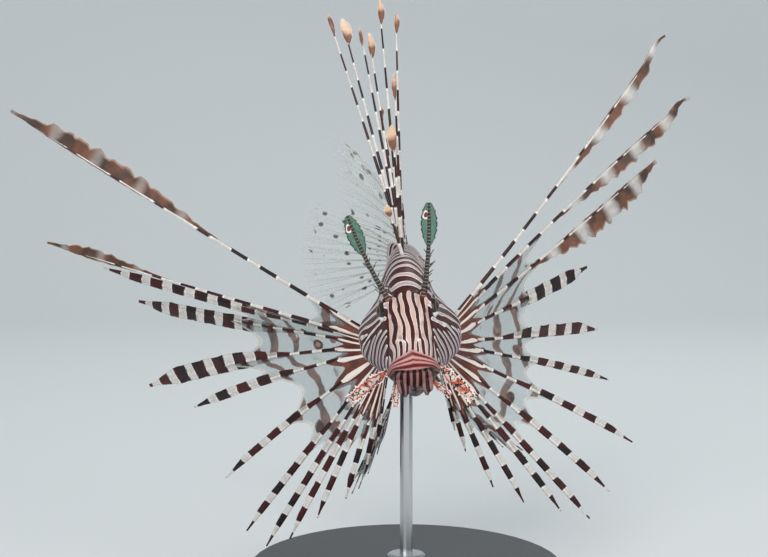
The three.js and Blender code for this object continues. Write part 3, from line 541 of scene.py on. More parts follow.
def skin_marks(p):
    """A first sketch of the stripes at points of the straight fish, with their spacing, how much of it
    is dark, the groove beside the snout, and the shares of lip, jaw, fine cheek lines, snout and belly."""
    x, s, h = p[:, 0], p[:, 1], p[:, 2]
    side = np.abs(x)
    bend_a, bend_b = warp_a(p), warp_b(p)
    top = section(s)[0]
    mouth = h - along(MOUTH_LINE, 1, s)
    behind = ease(-2, 2, s - gill_edge(h))
    lip_top = 2 * lip_height(x)
    lip = ease(-0.3, 0.3, mouth) * ease(0.6, -0.3, mouth - lip_top) * ease(27.5, 25, s)
    jaw = ease(0.3, -0.3, mouth) * ease(34, 26, s)
    nape = ease(22.5, 27, s + 0.25 * side) * ease(-13, -7, h - top)
    cheeks = ease(9.4, 10.8, side + 0.10 * (h + 4)) * (1 - nape)
    low = cheeks * ease(1, -9, h + 0.35 * (s - 34))
    snout = np.clip(1 - nape - cheeks, 0, 1)
    # Each kind of stripe: its place across the stripes, the spacing of the broad dark ones, how dark it
    # is and how much narrower the dark ones between them are
    kinds = {
        "bars": (s + 0.16 * h + 0.9 * bend_a + 0.35 * bend_b, 9.6, 0.4, 0.4),
        "arcs": (s - 0.10 * side + 0.6 * bend_a + 0.3 * bend_b - 1.5, 12.5, 0.42, 0.35),
        "lines": (x * (1 + 0.004 * (s - 20)) + 0.4 * bend_a + 0.25 * bend_b, 6.6, 0.06, 0.4),
        "frayed": (x + 0.3 * bend_a + 0.5 * bend_b, 4.6, 0.06, 0.3),
        "rays": (0.55 * s + 0.84 * h + 1.0 * bend_a + 0.5 * bend_b, 12.5, 0.6, 0.35),
        "fine": (0.86 * s + 0.5 * h + 0.8 * bend_a + 0.4 * bend_b, 5.4, 0.34, 0.4),
        "arches": (mouth, 5.6, -2.0, 0.0),
        "folds": (x + 0.15 * bend_b + 0.5 * bend_b * ease(-17, -24, h), 5.4, 0.16, 0.0),
    }
    frayed = snout * ease(1.5, -2.5, h)
    share = {"arcs": nape, "lines": snout - frayed, "frayed": frayed, "rays": cheeks - low, "fine": low}
    share = {key: value * (1 - lip) * (1 - jaw) * (1 - behind) for key, value in share.items()}
    share["arches"] = lip * (1 - jaw) * (1 - behind)
    share["folds"] = jaw * (1 - behind)
    share["bars"] = behind
    total = sum(share.values())
    sketch, dark, spacing = 0.0, 0.0, 0.0
    for key, (place, broad, level, thinner) in kinds.items():
        part = share[key] / total
        sketch = sketch + part * np.cos(4 * np.pi * place / broad)
        dark = dark + part * (level + thinner * np.cos(2 * np.pi * place / broad))
        spacing = spacing + part * math.log(broad / 2)
    groove = ridge(side + 0.10 * (h + 4), 10.1, 0.34) * ease(12, 6, h) * ease(36, 30, s)
    groove = groove * (1 - lip) * (1 - jaw) * (1 - behind)
    level = np.clip(mouth / lip_top, 0, 1) + 0.03 * bend_b
    arch = 2.0 * ridge(level, 0.27, 0.1) + 1.4 * ridge(level, 0.58, 0.055) + 1.8 * ridge(level, 0.88, 0.08)
    return {
        "stripe": sketch,
        "spacing": np.exp(spacing),
        "dark": dark + 1.3 * groove,
        "groove": groove,
        "arch": np.clip(arch, 0, 1) * lip,
        "lip": share["arches"],
        "jaw": share["folds"],
        "fine": share["fine"],
        "snout": share["lines"] + 0.45 * share["frayed"],
        "belly": ease(0.0, 1.0, (-h - 24 + 0.05 * s) / 9) * (1 - jaw),
    }


def relaxed(stripe, spacing, one, other, shares, steps):
    """Stripes that have settled to an even spacing, with the forks and breaks that skin has."""
    scale = 4.0 * spacing ** 2 / (2 * np.pi * SKIN_EDGE) ** 2
    pace = 1.6 / (1 + 2 * scale.max()) ** 2
    push = 0.7
    for _ in range(steps):
        spread = stripe + scale * (averaged(stripe, one, other, shares) - stripe)
        spread = spread + scale * (averaged(spread, one, other, shares) - spread)
        stripe = stripe + pace * (push * stripe - spread - stripe ** 3)
    return np.clip(stripe / math.sqrt(4 * push / 3), -1.1, 1.1)


def skin_piece():
    points, faces = skin_shape()
    one, other, shares = neighbours(faces, len(points))
    for _ in range(5):
        points = mix(points, averaged(points, one, other, shares), 0.5)
    marks = skin_marks(points)
    marks["stripe"] = relaxed(marks["stripe"], marks.pop("spacing"), one, other, shares, STRIPE_STEPS)
    s, h = points[:, 1], points[:, 2]
    normal = point_normals(points, faces)
    mouth = h - along(MOUTH_LINE, 1, s)
    slit = ridge(mouth, -0.2, 0.55) * ease(28, 24, s)
    seam = ridge(s - gill_edge(h), 1.0, 0.9) * ease(-30, -24, h) * ease(20, 12, h)
    rise = -1.2 * slit - 0.9 * seam
    rise -= 0.8 * marks["jaw"] * marks["stripe"] * ease(22, 14, s) * ease(-25, -19, h)
    rise -= 0.25 * marks["arch"] + 0.7 * marks.pop("groove")
    rise += 0.10 * (1 - marks["lip"]) * (1 - marks["jaw"]) * np.clip(-marks["stripe"], -1, 1)
    points = points + normal * rise[:, None]
    marks["seam"] = np.clip(slit + seam, 0, 1)
    return mesh_object("skin", to_world(on_body(points)), faces, marks)


# Breast fins, each ray as rise, slant, length, bow, vane above and below, vane start and web
PECTORAL_ROOT = np.array([[25, 71, -4], [17, 59, -29]], dtype=float)
PECTORAL_INNER = np.array([[15, 70, -12], [12, 58, -25]], dtype=float)
PECTORAL_CURL = 0.1
# How far the tips of the two highest rays on the left hook upward, and from what share of their length
HOOK = {"rise": 2.6, "from": 0.9}
PECTORAL_RAYS = {
    "right": np.array([
        [35.7, 5, 186, 0, 7.4, 0.9, 0.4, 0], [13.9, 26, 177, 0, 5, 1.4, 0.58, 0.2],
        [9.5, 36, 164, 0, 2.2, 2.4, 0.2, 0.5], [1.6, 42, 157, 0, 2.8, 4.4, 0.25, 0.58],
        [-17, 34, 142, 5, 5.4, 3.6, 0.3, 0.6], [-23.3, 28, 108, 3, 2.8, 2, 0.3, 0.66],
        [-41.6, 14, 101, 2, 2.6, 0.8, 0.25, 0.56], [-52.8, 6, 109, 0, 2.5, 0.8, 0.25, 0.58],
        [-57.5, 0, 105, 0, 2.3, 0.8, 0.2, 0.58], [-61, -4, 93, 0, 2.2, 0.8, 0.2, 0.58],
        [-65.5, -4, 77, 0, 2, 0.8, 0.2, 0.6], [-73.1, -2, 63, 0, 1.8, 0.8, 0.1, 0.62],
        [-79.6, 4, 47, 0, 1.5, 0.8, 0.1, 0.66], [-85.9, 10, 32, 0, 1.2, 0.8, 0.1, 0.7],
    ]),
    "left": np.array([
        [46.5, 10, 159, -2, 0.9, 4.6, 0.45, 0], [32.1, 28, 171, 4, 0.9, 6.2, 0.4, 0.2],
        [24.5, 38, 155, -1, 1.2, 9, 0.35, 0.42], [2.7, 50, 110, 0, 3.2, 3.8, 0.3, 0.58],
        [-20.3, 46, 113, 0, 5.2, 1, 0.3, 0.62], [-32.1, 36, 111, 2, 2.6, 1.2, 0.3, 0.62],
        [-40.1, 16, 111, 2, 2.6, 0.8, 0.25, 0.56], [-51.4, 6, 108, 2, 2.5, 0.8, 0.25, 0.58],
        [-58.2, 0, 106, 0, 2.3, 0.8, 0.2, 0.58], [-62, -4, 91, 0, 2.2, 0.8, 0.2, 0.58],
        [-69.9, -4, 77, 0, 2, 0.8, 0.2, 0.6], [-77.7, -2, 63, 0, 1.8, 0.8, 0.1, 0.62],
        [-86, 4, 42, 0, 1.5, 0.8, 0.1, 0.66], [-91, 10, 30, 0, 1.2, 0.8, 0.1, 0.7],
    ]),
}
# The rays whose vanes are soft brown ribbons, and those with broad smooth vanes
RIBBONS = {"right": (0, 1), "left": (0, 1, 2)}
FEATHERS = {"right": (3, 4, 5), "left": (3, 4)}
RIBBON_BROWN = {"right": 0.75, "left": 0.15}
BAND_PERIOD = 14.0
LONG_PERIOD = 16.0
RIBBON_PERIOD = 24.0
FEATHER_PERIOD = 14.5
FOOT = {"length": 32.0, "most": 0.6, "thick": 2.6, "edge": 0.2, "ridge": 0.5}
WEB_BAR_PERIOD = 15.0
RAY_RADII = (1.2, 0.3)
VANE = {"thick": 0.34, "edge": 0.12, "least": 0.3, "wave": 0.10}
# How a web is made: its points, half its thickness, how far its free edge is drawn in and its billow
FAN_WEB = {"rows": 44, "half": 0.11, "notch": 0.2, "billow": 0.10}
BELLY_WEB = {**FAN_WEB, "notch": 0.1}
SOFT_WEB = {"rows": 40, "half": 0.09, "notch": 0.05, "billow": 0.0}


def ray_direction(side, rise, slant):
    up, back = np.radians(rise), np.radians(slant)
    return np.stack([side * np.cos(up) * np.cos(back), np.sin(back), np.sin(up) * np.cos(back)], -1)


def ray_frames(paths, upright=False):
    """Direction across the fin and normal at each point of each ray. The vanes of upright rays stand
    square to the fish's length."""
    tangent = unit(np.gradient(paths, axis=1))
    across = np.concatenate([paths[1:2] - paths[:1], paths[2:] - paths[:-2], paths[-1:] - paths[-2:-1]])
    if upright:
        square = np.cross(tangent, [0.0, 1.0, 0.0])
        across = square * np.sign((square * across).sum(-1, keepdims=True))
    across = unit(across - tangent * (across * tangent).sum(-1, keepdims=True))
    return across, np.cross(tangent, across)


def pectoral_paths(side_name, steps=97):
    table = PECTORAL_RAYS[side_name]
    share = down(len(table))
    flip = np.array([SIDES[side_name], 1, 1])
    root = mix(PECTORAL_ROOT[0], PECTORAL_ROOT[1], share) * flip
    inner = mix(PECTORAL_INNER[0], PECTORAL_INNER[1], share) * flip
    reach = root + ray_direction(SIDES[side_name], table[:, 0], table[:, 1]) * table[:, 2:3]
    t = over(steps)
    paths = mix(inner[:, None], reach[:, None], t[..., None])
    paths[..., 1] += PECTORAL_CURL * table[:, 2:3] * t ** 2
    paths[..., 2] += 4 * table[:, 3:4] * t * (1 - t)
    if side_name == "left":
        hook = np.clip((t - HOOK["from"]) / (1 - HOOK["from"]), 0, 1)
        paths[:2, :, 2] += HOOK["rise"] * np.sin(np.pi * hook)
    return paths


def length_along(path):
    return np.concatenate([[0.0], np.cumsum(np.linalg.norm(np.diff(path, axis=0), axis=-1))])


def at_share(path, share):
    """Places on a path at shares of its steps."""
    steps = np.linspace(0, 1, len(path))
    return np.stack([np.interp(share, steps, path[:, k]) for k in range(3)], axis=-1)


def band_places(distance, period):
    """Places along a ray counted in bands, from a random start."""
    return rng.uniform(0, 1) + np.concatenate([[0.0], np.cumsum(np.diff(distance) / period[1:])])


def pectoral_pieces(side_name):
    paths = pectoral_paths(side_name)
    across, normal = ray_frames(paths, upright=True)
    t = np.linspace(0, 1, paths.shape[1])
    columns = over(9, -1)
    rays, webs = Pieces(), Pieces()
    for i, (*_, above, below, start, web) in enumerate(PECTORAL_RAYS[side_name]):
        path, distance = paths[i], length_along(paths[i])
        ribbon = ease(start - 0.05, start + 0.1, t) * (i in RIBBONS[side_name])
        feather = ease(start - 0.1, start + 0.1, t) * (i in FEATHERS[side_name])
        plain = LONG_PERIOD if i < 3 else BAND_PERIOD * mix(1.0, 0.9, (i % 3) / 2)
        period = mix(mix(plain, RIBBON_PERIOD, ribbon), FEATHER_PERIOD, feather)
        band = band_places(distance, period)
        rays.ray(path, mix(*RAY_RADII, t ** 0.8), flat=0.9, band=band, edge=0.0, brown=0.0, bright=ribbon)
        opening = mix(0.12, 1.0, ease(start, start + 0.3, t)) * (1 - 0.8 * ease(0.84, 1.0, t))
        notch = np.abs(np.sin(np.pi * (distance / rng.uniform(7, 9) + rng.uniform(0, 1)))) ** 3
        ripple = np.sin(distance * 0.5 + i) + 0.6 * np.sin(distance * 1.3 + 2 * i)
        frayed = (1 - 0.2 * ribbon * notch) * (1 + (0.03 + 0.05 * ribbon) * ripple)
        width = np.where(columns < 0, above, below) * opening[:, None] * frayed[:, None]
        offset = (columns * np.maximum(width, VANE["least"]))[..., None]
        wave = VANE["wave"] * np.abs(offset) * np.sin(distance * 0.35 + i)[:, None, None]
        vane = path[:, None] + across[i][:, None] * offset + normal[i][:, None] * wave
        rays.slab(vane, normal[i][:, None], mix(VANE["thick"], VANE["edge"], np.abs(columns)),
                  band=band[:, None], edge=np.abs(columns), brown=ribbon[:, None],
                  bright=-RIBBON_BROWN[side_name] * ribbon[:, None])
        if i > 0 and web > 0:
            web_between(webs, paths[i - 1:i + 1], normal[i - 1:i + 1], web, i, FAN_WEB)
    return rays, webs, pectoral_foot(paths, normal)


def web_between(webs, pair, normals, reach, number, kind, **values):
    """The web between two rays, its free edge drawn in, a little billowed."""
    cell, rows = over(9), down(kind["rows"])
    share = rows * reach * (1 - kind["notch"] * 4 * cell * (1 - cell))
    a, b = at_share(pair[0], share), at_share(pair[1], share)
    normal = unit(at_share(normals[0], share) + at_share(normals[1], share))
    gap = np.linalg.norm(a - b, axis=-1)
    billow = kind["billow"] * gap * np.sin(np.pi * cell) * (1 if number % 2 else -0.4)
    points = mix(a, b, cell[..., None]) + normal * billow[..., None]
    run = share * length_along(pair[0])[-1]
    webs.slab(points, normal, kind["half"], run=run, cell=cell + number, reach=rows, **values)


def pectoral_foot(paths, normal):
    """The fleshy foot of a breast fin, ridged along its rays, its free edge drawn in between them."""
    count, rows = len(paths), down(60)
    at = np.linspace(0, count - 1, 12 * (count - 1) + 1)
    reach = np.array([min(FOOT["length"] / length_along(path)[-1], FOOT["most"]) for path in paths])
    reach = np.interp(at, np.arange(count), reach) * (0.85 + 0.15 * np.cos(2 * np.pi * at))
    grid, facing = np.zeros((60, len(at), 3)), np.zeros((60, len(at), 3))
    for c, place in enumerate(at):
        k = min(int(place), count - 2)
        for found, lines in ((grid, paths), (facing, normal)):
            one, other = [at_share(lines[n], rows[:, 0] * reach[c]) for n in (k, k + 1)]
            found[:, c] = mix(one, other, place - k)
    ridges = 0.5 + 0.5 * np.cos(2 * np.pi * at)[None]
    thick = mix(FOOT["thick"], FOOT["edge"], ease(0.35, 1.0, rows))
    thick = thick + FOOT["ridge"] * ridges * (1 - ease(0.6, 1, rows))
    foot = Pieces()
    foot.slab(grid, unit(facing), thick, cell=at[None], reach=rows)
    return foot


# Spines of the back: length, slant, lean and the leaf's length, width and side
SPINES = {"first": 57.0, "spacing": 5.1, "sunk": 6.0, "radii": (1.15, 0.3), "band": 18.0, "skin": 1.3,
          "web": 5.0, "web_share": 0.09, "web_notch": 0.38}
SPINE_TABLE = np.array([
    [23, -6, -11, 6, 2.4, -1], [57, -4, 1, 12, 3.1, -1], [79, -1, 3, 12, 1.6, -1], [105, 3, 4, 9, 1.7, 1],
    [112, 7, 0, 11, 2.2, 1], [99, 11, -4, 12, 2.4, 1], [104, 14, -6.5, 10, 1.3, -1],
    [112, 17, -11, 13, 3.4, 1], [119, 20, -14.5, 11, 1.7, 1], [70, 25, -6, 6, 1.4, 1],
    [54, 30, -4, 5, 1.2, 1], [43, 34, -3, 4, 1.2, 1], [45, 38, -2, 4, 1.2, 1],
])
# How brown the leaf of each spine is
LEAF_BROWN = [0.0, 0.1, 0.3, 0.4, 0.3, 0.1, 0.7, 0.0, 0.7, 0.5, 0.5, 0.5, 0.5]


def on_spine(i, distance):
    station = SPINES["first"] + SPINES["spacing"] * i
    slant, lean = np.radians(SPINE_TABLE[i, 1]), np.radians(SPINE_TABLE[i, 2])
    top = section(np.array([station]))[0][0]
    return on_body(np.stack([
        distance * math.sin(lean) * math.cos(slant),
        station + distance * math.sin(slant),
        top + distance * math.cos(lean) * math.cos(slant),
    ], axis=-1))


def spiny_dorsal():
    rays, webs, leaves = Pieces(), Pieces(), Pieces()
    t = np.linspace(0, 1, 90)
    for i, (length, _, _, leaf, width, way) in enumerate(SPINE_TABLE):
        distance = mix(-SPINES["sunk"], length, t)
        path = on_spine(i, distance)
        band = distance / SPINES["band"] + rng.uniform(0, 1)
        rays.ray(path, mix(*SPINES["radii"], t ** 0.8), sides=10, band=band, edge=0.0)
        ripple = 0.8 + 0.2 * np.sin(distance * 0.5 + i)
        back = (SPINES["skin"] * (1 - ease(0.8, 1.0, t)))[:, None] * over(5) * ripple[:, None]
        strip = path[:, None] + np.array([0.25 * way, 1, 0]) * back[..., None]
        rays.slab(strip, (1, 0, 0), 0.12, band=band[:, None], edge=over(5))
        spine_leaf(leaves, i, length, leaf, width, way)
    reaches = SPINES["web"] + SPINES["web_share"] * SPINE_TABLE[:, 0]
    for i in range(len(SPINE_TABLE) - 1):
        cell, rows = over(10), down(30)
        reach = mix(reaches[i], reaches[i + 1], cell) * (1 - SPINES["web_notch"] * 4 * cell * (1 - cell))
        distance = mix(-SPINES["sunk"], reach, rows)
        points = mix(on_spine(i, distance), on_spine(i + 1, distance), cell[..., None])
        webs.slab(points, (1, 0, 0), 0.15, run=distance, cell=cell + i, reach=rows)
    return rays, webs, leaves


def spine_leaf(leaves, i, length, leaf, width, way):
    """The leaf of skin near the tip of a spine, wider on one side."""
    t, v = down(34), over(11, -1)
    path = on_spine(i, length - leaf * (1 - t[:, 0]) + 0.8)
    swell = np.sin(np.pi * np.clip(t * 0.94 + 0.03, 0, 1)) ** 0.8
    ragged = 1 + 0.07 * np.sin(9 * t + i) + 0.04 * np.sin(23 * t + 2 * i)
    offset = width * swell * ragged * np.where(v > 0, v, 0.5 * v)
    fold = 0.6 * np.sin(3 * v + 4 * t + i) * v
    points = path[:, None] + np.stack([way * offset, fold, 0 * offset], axis=-1)
    thick = mix(0.55, 0.12, np.abs(v) ** 0.7)
    leaves.slab(points, (0, 1, 0), thick, reach=t, edge=np.abs(v), tan=LEAF_BROWN[i])


# Soft fins: where they start and end, slants, lean and the lengths of the rays
SOFT_DORSAL = {"from": 125, "to": 160, "sign": 1, "slant": (18, 58), "lean": 30, "sunk": 6,
               "lengths": [48, 58, 66, 69, 68, 64, 58, 51, 44, 36, 28]}
ANAL = {"from": 122, "to": 158, "sign": -1, "slant": (24, 66), "lean": 6, "sunk": 5,
        "lengths": [20, 29, 38, 46, 48, 46, 42, 37, 31, 25]}
SOFT_RAY = {"radii": (0.6, 0.16), "fork": 1.5, "web": 0.94}
CAUDAL = {"station": 185, "rays": 11, "spread": 25, "root": 7.5, "length": 60, "roundness": 0.1}


def soft_paths(fin, steps=61):
    count = len(fin["lengths"])
    t = np.linspace(0, 1, steps)
    paths = []
    for i, length in enumerate(fin["lengths"]):
        station = mix(fin["from"], fin["to"], i / (count - 1))
        slant = math.radians(mix(*fin["slant"], i / (count - 1)))
        top, bottom = section(np.array([station]))[:2]
        skin = top[0] if fin["sign"] > 0 else bottom[0]
        places = np.stack([
            -fin["lean"] * t * t,
            station + length * math.sin(slant) * t,
            skin + fin["sign"] * (length * math.cos(slant) * t - fin["sunk"]),
        ], axis=-1)
        paths.append(on_body(places))
    return np.array(paths)


def caudal_paths(steps=61):
    t = np.linspace(0, 1, steps)
    paths = []
    for i in range(CAUDAL["rays"]):
        side = 1 - 2 * i / (CAUDAL["rays"] - 1)
        angle = math.radians(CAUDAL["spread"] * side)
        length = CAUDAL["length"] * (1 - CAUDAL["roundness"] * side * side)
        places = np.stack([
            0 * t,
            CAUDAL["station"] + length * math.cos(angle) * t,
            CAUDAL["root"] * side + length * math.sin(angle) * t,
        ], axis=-1)
        paths.append(on_body(places))
    return np.array(paths)


def soft_pieces(paths):
    """A soft fin of forked rays in a clear web."""
    across, normal = ray_frames(paths)
    t = np.linspace(0, 1, paths.shape[1])
    fin = Pieces()
    for i, path in enumerate(paths):
        for fork in (-1, 1):
            bend = path + across[i] * (fork * SOFT_RAY["fork"] * ease(0.35, 1.0, t))[:, None]
            fin.ray(bend, mix(*SOFT_RAY["radii"], t), sides=6,
                    run=length_along(path), cell=i, reach=t, shaft=1)
        if i:
            pair = slice(i - 1, i + 1)
            web_between(fin, paths[pair], normal[pair], SOFT_RAY["web"], i - 1, SOFT_WEB, shaft=0)
    return fin


# Belly fins
PELVIC = {"radii": (0.85, 0.25), "band": 12.5,
          "root": np.array([[5.0, 66, -30], [7.0, 76, -29]]), "curl": 0.1, "slant": (10, 30), "web": 0.93,
          "rise": {"left": (-47, -62), "right": (-62, -76)}, "lengths": [64, 71, 71, 65, 56, 46]}


def pelvic_paths(side_name, steps=61):
    side = SIDES[side_name]
    lengths = PELVIC["lengths"]
    t = np.linspace(0, 1, steps)
    paths = []
    for i, length in enumerate(lengths):
        share = i / (len(lengths) - 1)
        root = mix(PELVIC["root"][0], PELVIC["root"][1], share) * [side, 1, 1]
        rise = mix(*PELVIC["rise"][side_name], share)
        direction = ray_direction(side, rise, mix(*PELVIC["slant"], share))
        path = root + direction * (length * t)[:, None]
        path[:, 1] += PELVIC["curl"] * length * t * t
        paths.append(path)
    return np.array(paths)


def pelvic_pieces(side_name):
    paths = pelvic_paths(side_name)
    _, normal = ray_frames(paths)
    t = np.linspace(0, 1, paths.shape[1])
    rays, webs = Pieces(), Pieces()
    for i, path in enumerate(paths):
        rays.ray(path, mix(*PELVIC["radii"], t), band=length_along(path) / PELVIC["band"] + 0.2 * i)
        if i:
            web_between(webs, paths[i - 1:i + 1], normal[i - 1:i + 1], PELVIC["web"], i, BELLY_WEB)
    return rays, webs


# Tentacles over the eyes and flaps by the mouth
TENTACLE = {"across": 6.0, "station": 21.0, "height": 10.5, "length": 45.0, "bow": 1.2, "leaf": 3.5,
            "radius": 1.05, "ring": 1.5, "leaf_from": 0.58, "lean": {"left": 9.0, "right": 20.5}}
# The twigs of a tentacle: the share of its length at the first and between two, and their own sizes
TWIGS = {"count": 16, "first": 0.08, "spacing": 0.028, "length": (2.2, 5.5), "lift": 1.6,
         "radii": (0.4, 0.15)}
FLAPS = [
    {"name": "flap_lip", "root": (11.6, 20.5, -16.6), "length": 21, "width": 5.6,
     "to": {"left": (0.62, 0.05, -0.78), "right": (0.84, 0.05, -0.54)}},
    {"name": "flap_chin", "root": (8.2, 14, -21.6), "length": 9, "width": 3.4,
     "to": {"left": (0.7, -0.1, -0.7), "right": (0.12, -0.15, -0.98)}},
]


def tentacle_pieces(side_name):
    side = SIDES[side_name]
    lean = math.radians(TENTACLE["lean"][side_name])
    root = np.array([side * TENTACLE["across"], TENTACLE["station"], TENTACLE["height"]])
    up = unit(np.array([side * math.sin(lean), -0.05, math.cos(lean)]))

    def place(share):
        bow = np.multiply.outer(np.sin(np.pi * share), [side * TENTACLE["bow"], 0, 0])
        return root + np.multiply.outer(TENTACLE["length"] * share, up) + bow

    t = np.linspace(0, 1, 90)
    path = place(t)
    stalk, leaf = Pieces(), Pieces()
    rings = 1 + 0.10 * np.sin(2 * np.pi * TENTACLE["length"] * t / TENTACLE["ring"])
    radius = TENTACLE["radius"] * mix(1.25, 0.55, t) * rings
    stalk.tube(path, radius, sides=12, run=TENTACLE["length"] * t, reach=t)
    u = np.linspace(0, 1, 8)
    for k in range(TWIGS["count"]):
        begin = place(TWIGS["first"] + TWIGS["spacing"] * k)
        way = side if k % 3 else -0.6 * side
        out = unit(np.array([way * rng.uniform(0.5, 1.0), rng.uniform(-0.5, 0.4), 0.5]))
        twig = begin + np.outer(rng.uniform(*TWIGS["length"]) * u, out)
        twig[:, 2] += rng.uniform(0, TWIGS["lift"]) * u * u
        stalk.tube(twig, mix(*TWIGS["radii"], u), sides=6, run=rng.uniform(0, 1.5) + 4 * u, reach=u * 0.4)
    share = (t - TENTACLE["leaf_from"]) / (1 - TENTACLE["leaf_from"])
    path, share = path[share > 0], share[share > 0]
    swell = np.sin(np.pi * share * 0.97) ** 0.55
    ragged = 1 + 0.06 * np.sin(40 * share) + 0.04 * np.sin(71 * share)
    offset = TENTACLE["leaf"] * (swell * ragged)[:, None] * over(13, -1)
    points = path[:, None] + unit(np.cross(up, [0, -1, 0])) * offset[..., None]
    points[..., 1] += 0.05 * offset ** 2
    leaf.slab(points, (0, 1, 0), 0.16, reach=share[:, None], edge=over(13, -1))
    return stalk, leaf


def flap_piece(side_name, flap):
    """A flap of skin with a ragged edge, waved across its width."""
    flip = [SIDES[side_name], 1, 1]
    root = np.array(flap["root"]) * flip
    to = unit(np.array(flap["to"][side_name]) * flip)
    wide = unit(np.cross(to, [0, -1, 0]))
    normal = unit(np.cross(wide, to))
    t, v = down(90, -0.06), over(31, -1)
    swell = 0.5 + 0.5 * np.sin(np.pi * np.clip(1.15 * t - 0.1, 0, 0.92))
    fringe = 0.24 * np.sin(41 * t + 2 * v + 2.2 * np.sin(11 * t))
    fringe = fringe + 0.18 * np.sin(87 * t + 3 * v) + 0.2 * np.sin(9 * t)
    offset = v * flap["width"] / 2 * swell * (1 + np.abs(v) ** 3 * fringe)
    wave = 0.8 * v * np.sin(7 * t + v) + 0.25 * np.sin(17 * t + 3 * v) - 1.2 * t * t
    points = root + to * (flap["length"] * t)[..., None] + wide * offset[..., None]
    points = points + normal * wave[..., None]
    piece = Pieces()
    piece.slab(points, normal, mix(0.45, 0.14, np.abs(v)), edge=v)
    return piece


# Looks
MAROON = (0.058, 0.008, 0.007)
BLACK = (0.006, 0.004, 0.006)
CREAM = (0.66, 0.44, 0.37)
WHITE = (0.86, 0.79, 0.74)
GREY_PINK = (0.56, 0.38, 0.36)
LAVENDER = (0.44, 0.35, 0.39)
PINK = (0.60, 0.30, 0.27)
JAW = (0.27, 0.125, 0.12)
JAW_FOLDS = (0.13, 0.105, 0.11)
DUSK = (0.36, 0.28, 0.32)
BELLY = (0.50, 0.38, 0.35)
WINE = (0.050, 0.010, 0.009)
CARMINE = (0.13, 0.004, 0.006)
SOOT = (0.012, 0.006, 0.007)
RUST = (0.17, 0.07, 0.04)
UMBER = (0.06, 0.038, 0.03)
TAN = (0.50, 0.30, 0.21)
BONE = (0.60, 0.54, 0.49)
IVORY = (0.74, 0.70, 0.66)


def skin_look():
    look = Look("skin", Roughness=0.5, Coat_Weight=0.1, Coat_Roughness=0.25, Specular_IOR_Level=0.25)
    stripe = look.value("stripe")
    fuzzy = look.add(stripe, look.wobble(900.0, 0.35, 3.0))
    level = look.add(fuzzy, look.value("dark"))
    core = look.ease(0.08, 0.2, level)
    heart = look.ease(0.42, 0.7, level)
    rim = look.times(look.ease(-0.36, -0.22, level), look.rest(core))
    light = look.mix(look.value("snout"), look.mottled(GREY_PINK, LAVENDER, 70.0, 3.0), CREAM)
    light = look.mix(look.value("fine"), light, DUSK)
    plain = look.math("SUBTRACT", 1.0, look.add(look.value("lip"), look.value("jaw")), clamp=True)
    light = look.mix(look.value("lip"), light, PINK)
    low = look.ease(0.110, 0.101, look.node("SeparateXYZ", {0: look.place()}).outputs["Z"])
    light = look.mix(look.value("jaw"), light, look.mix(low, JAW, JAW_FOLDS))
    light = look.mix(look.value("belly"), light, BELLY)
    light = look.mix(look.times(look.times(rim, 0.75), plain), light, WHITE)
    dark = look.mix(heart, BLACK, MAROON)
    dark = look.mix(look.times(look.value("snout"), 0.5), dark, WINE)
    dark = look.mix(look.times(look.value("jaw"), look.add(0.4, look.times(low, 0.6))), dark, BLACK)
    colour = look.mix(core, light, dark)
    colour = look.mix(look.value("arch"), colour, CARMINE)
    colour = look.mix(look.times(look.value("seam"), 0.8), colour, BLACK)
    scales = look.cells(1100.0)
    look.set(Base_Color=colour, Normal=look.bump(scales, 0.0002, 0.3))
    return look


def banded_look(name, duty, clear, dark=MAROON):
    """Dark and pale bands along a ray. duty widens the dark ones, and clear is the least alpha of the
    pale ones."""
    look = Look(name, Roughness=0.45, Coat_Weight=0.1, Specular_IOR_Level=0.25)
    brown = look.value("brown")
    band = look.add(look.value("band"), look.times(look.noise(170.0, 3.0), 0.16))
    wave = look.add(look.wave(band), duty)
    wave = look.math("SUBTRACT", wave, look.value("bright"))
    soft = look.ease(-0.9, 0.5, wave)
    sharp = look.ease(-0.12, 0.12, wave)
    mask = look.add(sharp, look.times(brown, look.math("SUBTRACT", soft, sharp)))
    rim = look.times(look.ease(-0.45, -0.2, wave), look.rest(mask))
    rim = look.times(rim, look.rest(brown))
    deep = look.mix(brown, look.mottled(dark, SOOT, 60.0), look.mottled(RUST, UMBER, 110.0, 3.0))
    pale = look.mottled(BONE, IVORY, 240.0, low=0.3, high=0.8)
    pale = look.mix(rim, pale, WHITE)
    colour = look.mix(mask, pale, deep)
    rim = look.times(look.ease(0.84, 0.93, look.value("edge")), look.times(brown, mask))
    colour = look.mix(look.times(rim, 0.7), colour, TAN)
    edge = look.ease(0.1, 0.5, look.value("edge"))
    thin = look.times(look.times(edge, 1.0 - clear), look.rest(mask))
    look.set(Base_Color=colour, Alpha=look.rest(thin))
    return look


